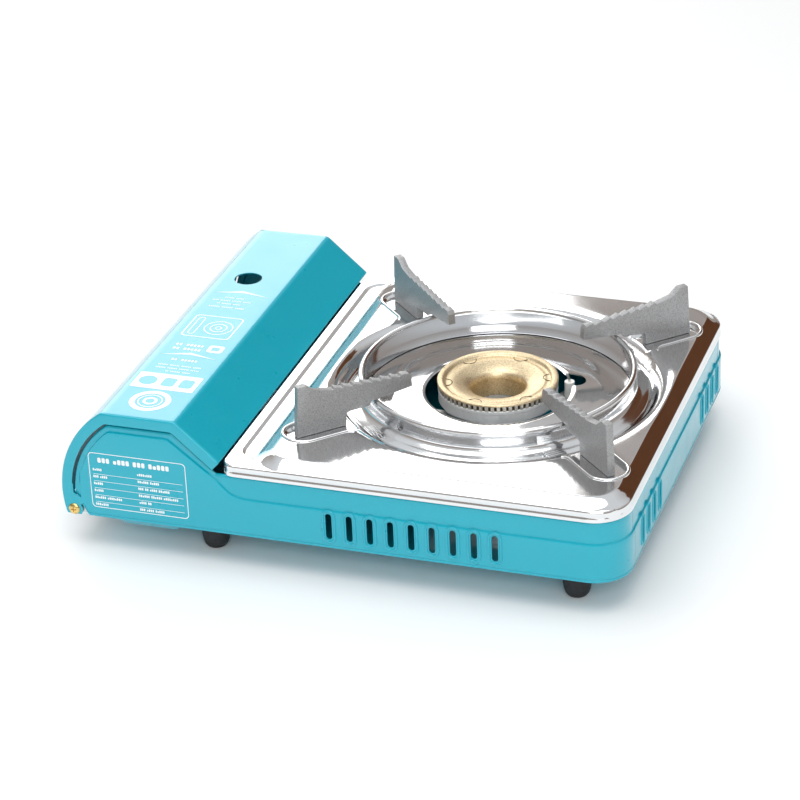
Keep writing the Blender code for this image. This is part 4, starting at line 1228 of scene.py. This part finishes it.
CAMERA_PLACE = (-0.49964, 1.43000, 0.83019)
CAMERA_BACK = (-0.29367, 0.83549, 0.4644)
CAMERA_ROLL = -0.043
CAMERA_SHIFT = (-3.699, 7.499)
CAMERA_LENS = 128.118
FLOOR_REACH = 9000.0


def stage_material(name, colour, roughness, strength=0.0):
    finish = Finish(name, roughness=roughness)
    base = Vector(colour)
    finish.colours(finish.noise(3.0), [(0.3, base * 0.995), (0.7, base)])
    finish.shader.inputs["Emission Color"].default_value = (*colour, 1.0)
    finish.shader.inputs["Emission Strength"].default_value = strength
    return finish.material


def stage_card(name, centre, target, width, height, material):
    """Card that faces a target and is hidden from the camera; polished sheet reflects it."""
    mesh = mesh_of([(-width / 2, -height / 2, 0), (width / 2, -height / 2, 0),
                    (width / 2, height / 2, 0), (-width / 2, height / 2, 0)], [(0, 1, 2, 3)])
    way = (Vector(target) - Vector(centre)).normalized()
    mesh.transform(Matrix.Translation(Vector(centre) * MM)
                   @ way.to_track_quat("Z", "Y").to_matrix().to_4x4())
    obj = loose_object(name, mesh)
    mesh.materials.append(material)
    obj.visible_camera = False


def area_light(name, centre, target, size, power):
    """Soft rectangular light, placed in metres and aimed at a target."""
    light = bpy.data.lights.new(name, "AREA")
    light.shape = "RECTANGLE"
    light.size, light.size_y = size
    light.energy = power
    obj = bpy.data.objects.new(name, light)
    bpy.context.scene.collection.objects.link(obj)
    obj.location = centre
    obj.rotation_euler = (Vector(target) - Vector(centre)).to_track_quat("-Z", "Y").to_euler()


def build_stage(look):
    """Floor, reflected card, lights, surround and camera."""
    corners = [(x * FLOOR_REACH, y * FLOOR_REACH, 0)
               for x, y in ((-1, -1), (1, -1), (1, 1), (-1, 1))]
    floor = loose_object("studio_floor", mesh_of(corners, [(0, 1, 2, 3)]))
    floor.data.materials.append(stage_material("floor_white", (0.93, 0.945, 0.95), 0.7))
    brown = stage_material("card_brown", (0.115, 0.036, 0.007), 0.9)
    stage_card("card_side", (-800, -1800, 1000), (-800, 0, 1000), 1000, 1300, brown)
    area_light("front_softbox", (1.40, -1.80, 1.10), (1.40, 0, 1.10), (2.0, 1.5), look.softbox)
    area_light("overhead", (0.1, 0.3, 2.0), (0, 0, 0.05), (2.0, 1.6), look.overhead)
    area_light("fill", (-0.9, 2.3, 1.5), (0, 0, 0.05), (1.6, 1.2), look.fill)
    world = bpy.data.worlds.new("studio")
    bpy.context.scene.world = world
    world.use_nodes = True
    nodes, links = world.node_tree.nodes, world.node_tree.links
    place = nodes.new("ShaderNodeTexCoord")
    split = nodes.new("ShaderNodeSeparateXYZ")
    ramp = nodes.new("ShaderNodeValToRGB")
    stops = [(0.0, (0.9, 0.93, 0.95)), (0.5, (0.38, 0.34, 0.31)), (0.7, (0.38, 0.33, 0.30)),
             (0.9, (0.75, 0.77, 0.79))]
    spread = nodes.new("ShaderNodeMapRange")
    spread.inputs["From Min"].default_value = -1.0
    while len(ramp.color_ramp.elements) < len(stops):
        ramp.color_ramp.elements.new(0.5)
    for element, (position, colour) in zip(ramp.color_ramp.elements, stops):
        element.position = position
        element.color = (*colour, 1.0)
    links.new(place.outputs["Generated"], split.inputs["Vector"])
    links.new(split.outputs["Z"], spread.inputs["Value"])
    links.new(spread.outputs["Result"], ramp.inputs["Fac"])
    links.new(ramp.outputs["Color"], nodes["Background"].inputs["Color"])
    nodes["Background"].inputs["Strength"].default_value = look.surround
    bpy.context.scene.view_settings.view_transform = "Standard"
    make_camera()


def make_camera():
    """The scene's camera, turned and shifted to the viewing angle."""
    back = Vector(CAMERA_BACK).normalized()
    right = Vector((0, 0, 1)).cross(back).normalized()
    up = back.cross(right)
    turned_right = cos(CAMERA_ROLL) * right + sin(CAMERA_ROLL) * up
    turned_up = -sin(CAMERA_ROLL) * right + cos(CAMERA_ROLL) * up
    camera = bpy.data.cameras.new("camera")
    camera.lens = CAMERA_LENS
    camera.sensor_width = 36.0
    camera.clip_start = 0.1
    camera.clip_end = 50.0
    obj = bpy.data.objects.new("camera", camera)
    bpy.context.scene.collection.objects.link(obj)
    place = (Vector(CAMERA_PLACE) + turned_right * CAMERA_SHIFT[0] * MM
             + turned_up * CAMERA_SHIFT[1] * MM)
    turn = Matrix((turned_right, turned_up, back)).transposed().to_4x4()
    obj.matrix_world = Matrix.Translation(place) @ turn
    bpy.context.scene.camera = obj


# ---------------------------------------------------------------- add-on

class StoveLook(bpy.types.PropertyGroup):
    """Colours and light that a user would change."""
    enamel: FloatVectorProperty(name="Enamel", description="Colour of the lacquered sheet",
                                default=(0.0, 0.42, 0.55), size=3, subtype="COLOR")
    steel: FloatVectorProperty(name="Steel", description="Colour of the polished plate",
                               default=(0.84, 0.85, 0.86), size=3, subtype="COLOR")
    steel_roughness: FloatProperty(name="Steel roughness", description="Haze of the plate",
                                   default=0.06, min=0.0, max=1.0, subtype="FACTOR")
    casting: FloatVectorProperty(name="Legs", description="Colour of the blasted legs",
                                 default=(0.40, 0.405, 0.41), size=3, subtype="COLOR")
    brass: FloatVectorProperty(name="Burner crown", description="Colour of the burner crown",
                               default=(0.74, 0.61, 0.40), size=3, subtype="COLOR")
    overhead: FloatProperty(name="Overhead light", description="Power of the overhead light",
                            default=20.0, min=0.0, unit="POWER")
    fill: FloatProperty(name="Fill light", description="Power of the light behind the camera",
                        default=25.0, min=0.0, unit="POWER")
    softbox: FloatProperty(name="Softbox", description="Power of the light beyond the front",
                           default=22.0, min=0.0, unit="POWER")
    surround: FloatProperty(name="Surround", description="Brightness of the studio's surround",
                            default=0.95, min=0.0)


class STOVE_OT_finishes(bpy.types.Operator):
    """Make every finish and give the fixed inner pieces theirs"""
    bl_idname = "stove.finishes"
    bl_label = "Finishes"

    def execute(self, context):
        make_finishes(context.scene.stove_look)
        finish_cad_nodes()
        return {"FINISHED"}


class STOVE_OT_walls(bpy.types.Operator):
    """Build the walls with their vents, the bottom plate and the printed table"""
    bl_idname = "stove.walls"
    bl_label = "Walls"

    def execute(self, context):
        build_walls()
        build_bottom()
        build_plate_print()
        return {"FINISHED"}


class STOVE_OT_top_plate(bpy.types.Operator):
    """Build the pressed steel top plate"""
    bl_idname = "stove.top_plate"
    bl_label = "Top plate"

    def execute(self, context):
        build_top_plate()
        return {"FINISHED"}


class STOVE_OT_cover(bpy.types.Operator):
    """Build the cartridge cover, its prints and its hinge screws"""
    bl_idname = "stove.cover"
    bl_label = "Cartridge cover"

    def execute(self, context):
        build_cover()
        build_hinge_screws()
        return {"FINISHED"}


class STOVE_OT_pan_support(bpy.types.Operator):
    """Build the wind ring and the four serrated legs"""
    bl_idname = "stove.pan_support"
    bl_label = "Pan support"

    def execute(self, context):
        build_wind_ring()
        build_legs()
        return {"FINISHED"}


class STOVE_OT_burner(bpy.types.Operator):
    """Build the burner crown, its ports and the bowl under it"""
    bl_idname = "stove.burner"
    bl_label = "Burner"

    def execute(self, context):
        build_burner()
        return {"FINISHED"}


class STOVE_OT_controls(bpy.types.Operator):
    """Build the knob, its dial, the lock lever and the rubber feet"""
    bl_idname = "stove.controls"
    bl_label = "Controls and feet"

    def execute(self, context):
        build_knob()
        build_lever()
        build_feet()
        return {"FINISHED"}


class STOVE_OT_stage(bpy.types.Operator):
    """Build the floor, the soft lights, the cards and the camera"""
    bl_idname = "stove.stage"
    bl_label = "Stage"

    def execute(self, context):
        build_stage(context.scene.stove_look)
        return {"FINISHED"}


OPERATORS = (STOVE_OT_finishes, STOVE_OT_walls, STOVE_OT_top_plate, STOVE_OT_cover,
             STOVE_OT_pan_support, STOVE_OT_burner, STOVE_OT_controls, STOVE_OT_stage)


class STOVE_PT_panel(bpy.types.Panel):
    """Lists the stove's operators and its colours and lights"""
    bl_idname = "STOVE_PT_panel"
    bl_label = "Cassette stove"
    bl_space_type = "VIEW_3D"
    bl_region_type = "UI"
    bl_category = "Stove"

    def draw(self, context):
        for name in StoveLook.__annotations__:
            self.layout.prop(context.scene.stove_look, name)
        for operator in OPERATORS:
            self.layout.operator(operator.bl_idname)


def register():
    for cls in (StoveLook, *OPERATORS, STOVE_PT_panel):
        bpy.utils.register_class(cls)
    bpy.types.Scene.stove_look = PointerProperty(type=StoveLook)


def unregister():
    del bpy.types.Scene.stove_look
    for cls in reversed((StoveLook, *OPERATORS, STOVE_PT_panel)):
        bpy.utils.unregister_class(cls)


def main():
    register()
    bpy.ops.stove.finishes()
    bpy.ops.stove.walls()
    bpy.ops.stove.top_plate()
    bpy.ops.stove.cover()
    bpy.ops.stove.pan_support()
    bpy.ops.stove.burner()
    bpy.ops.stove.controls()
    bpy.ops.stove.stage()


if __name__ == "__main__":
    main()
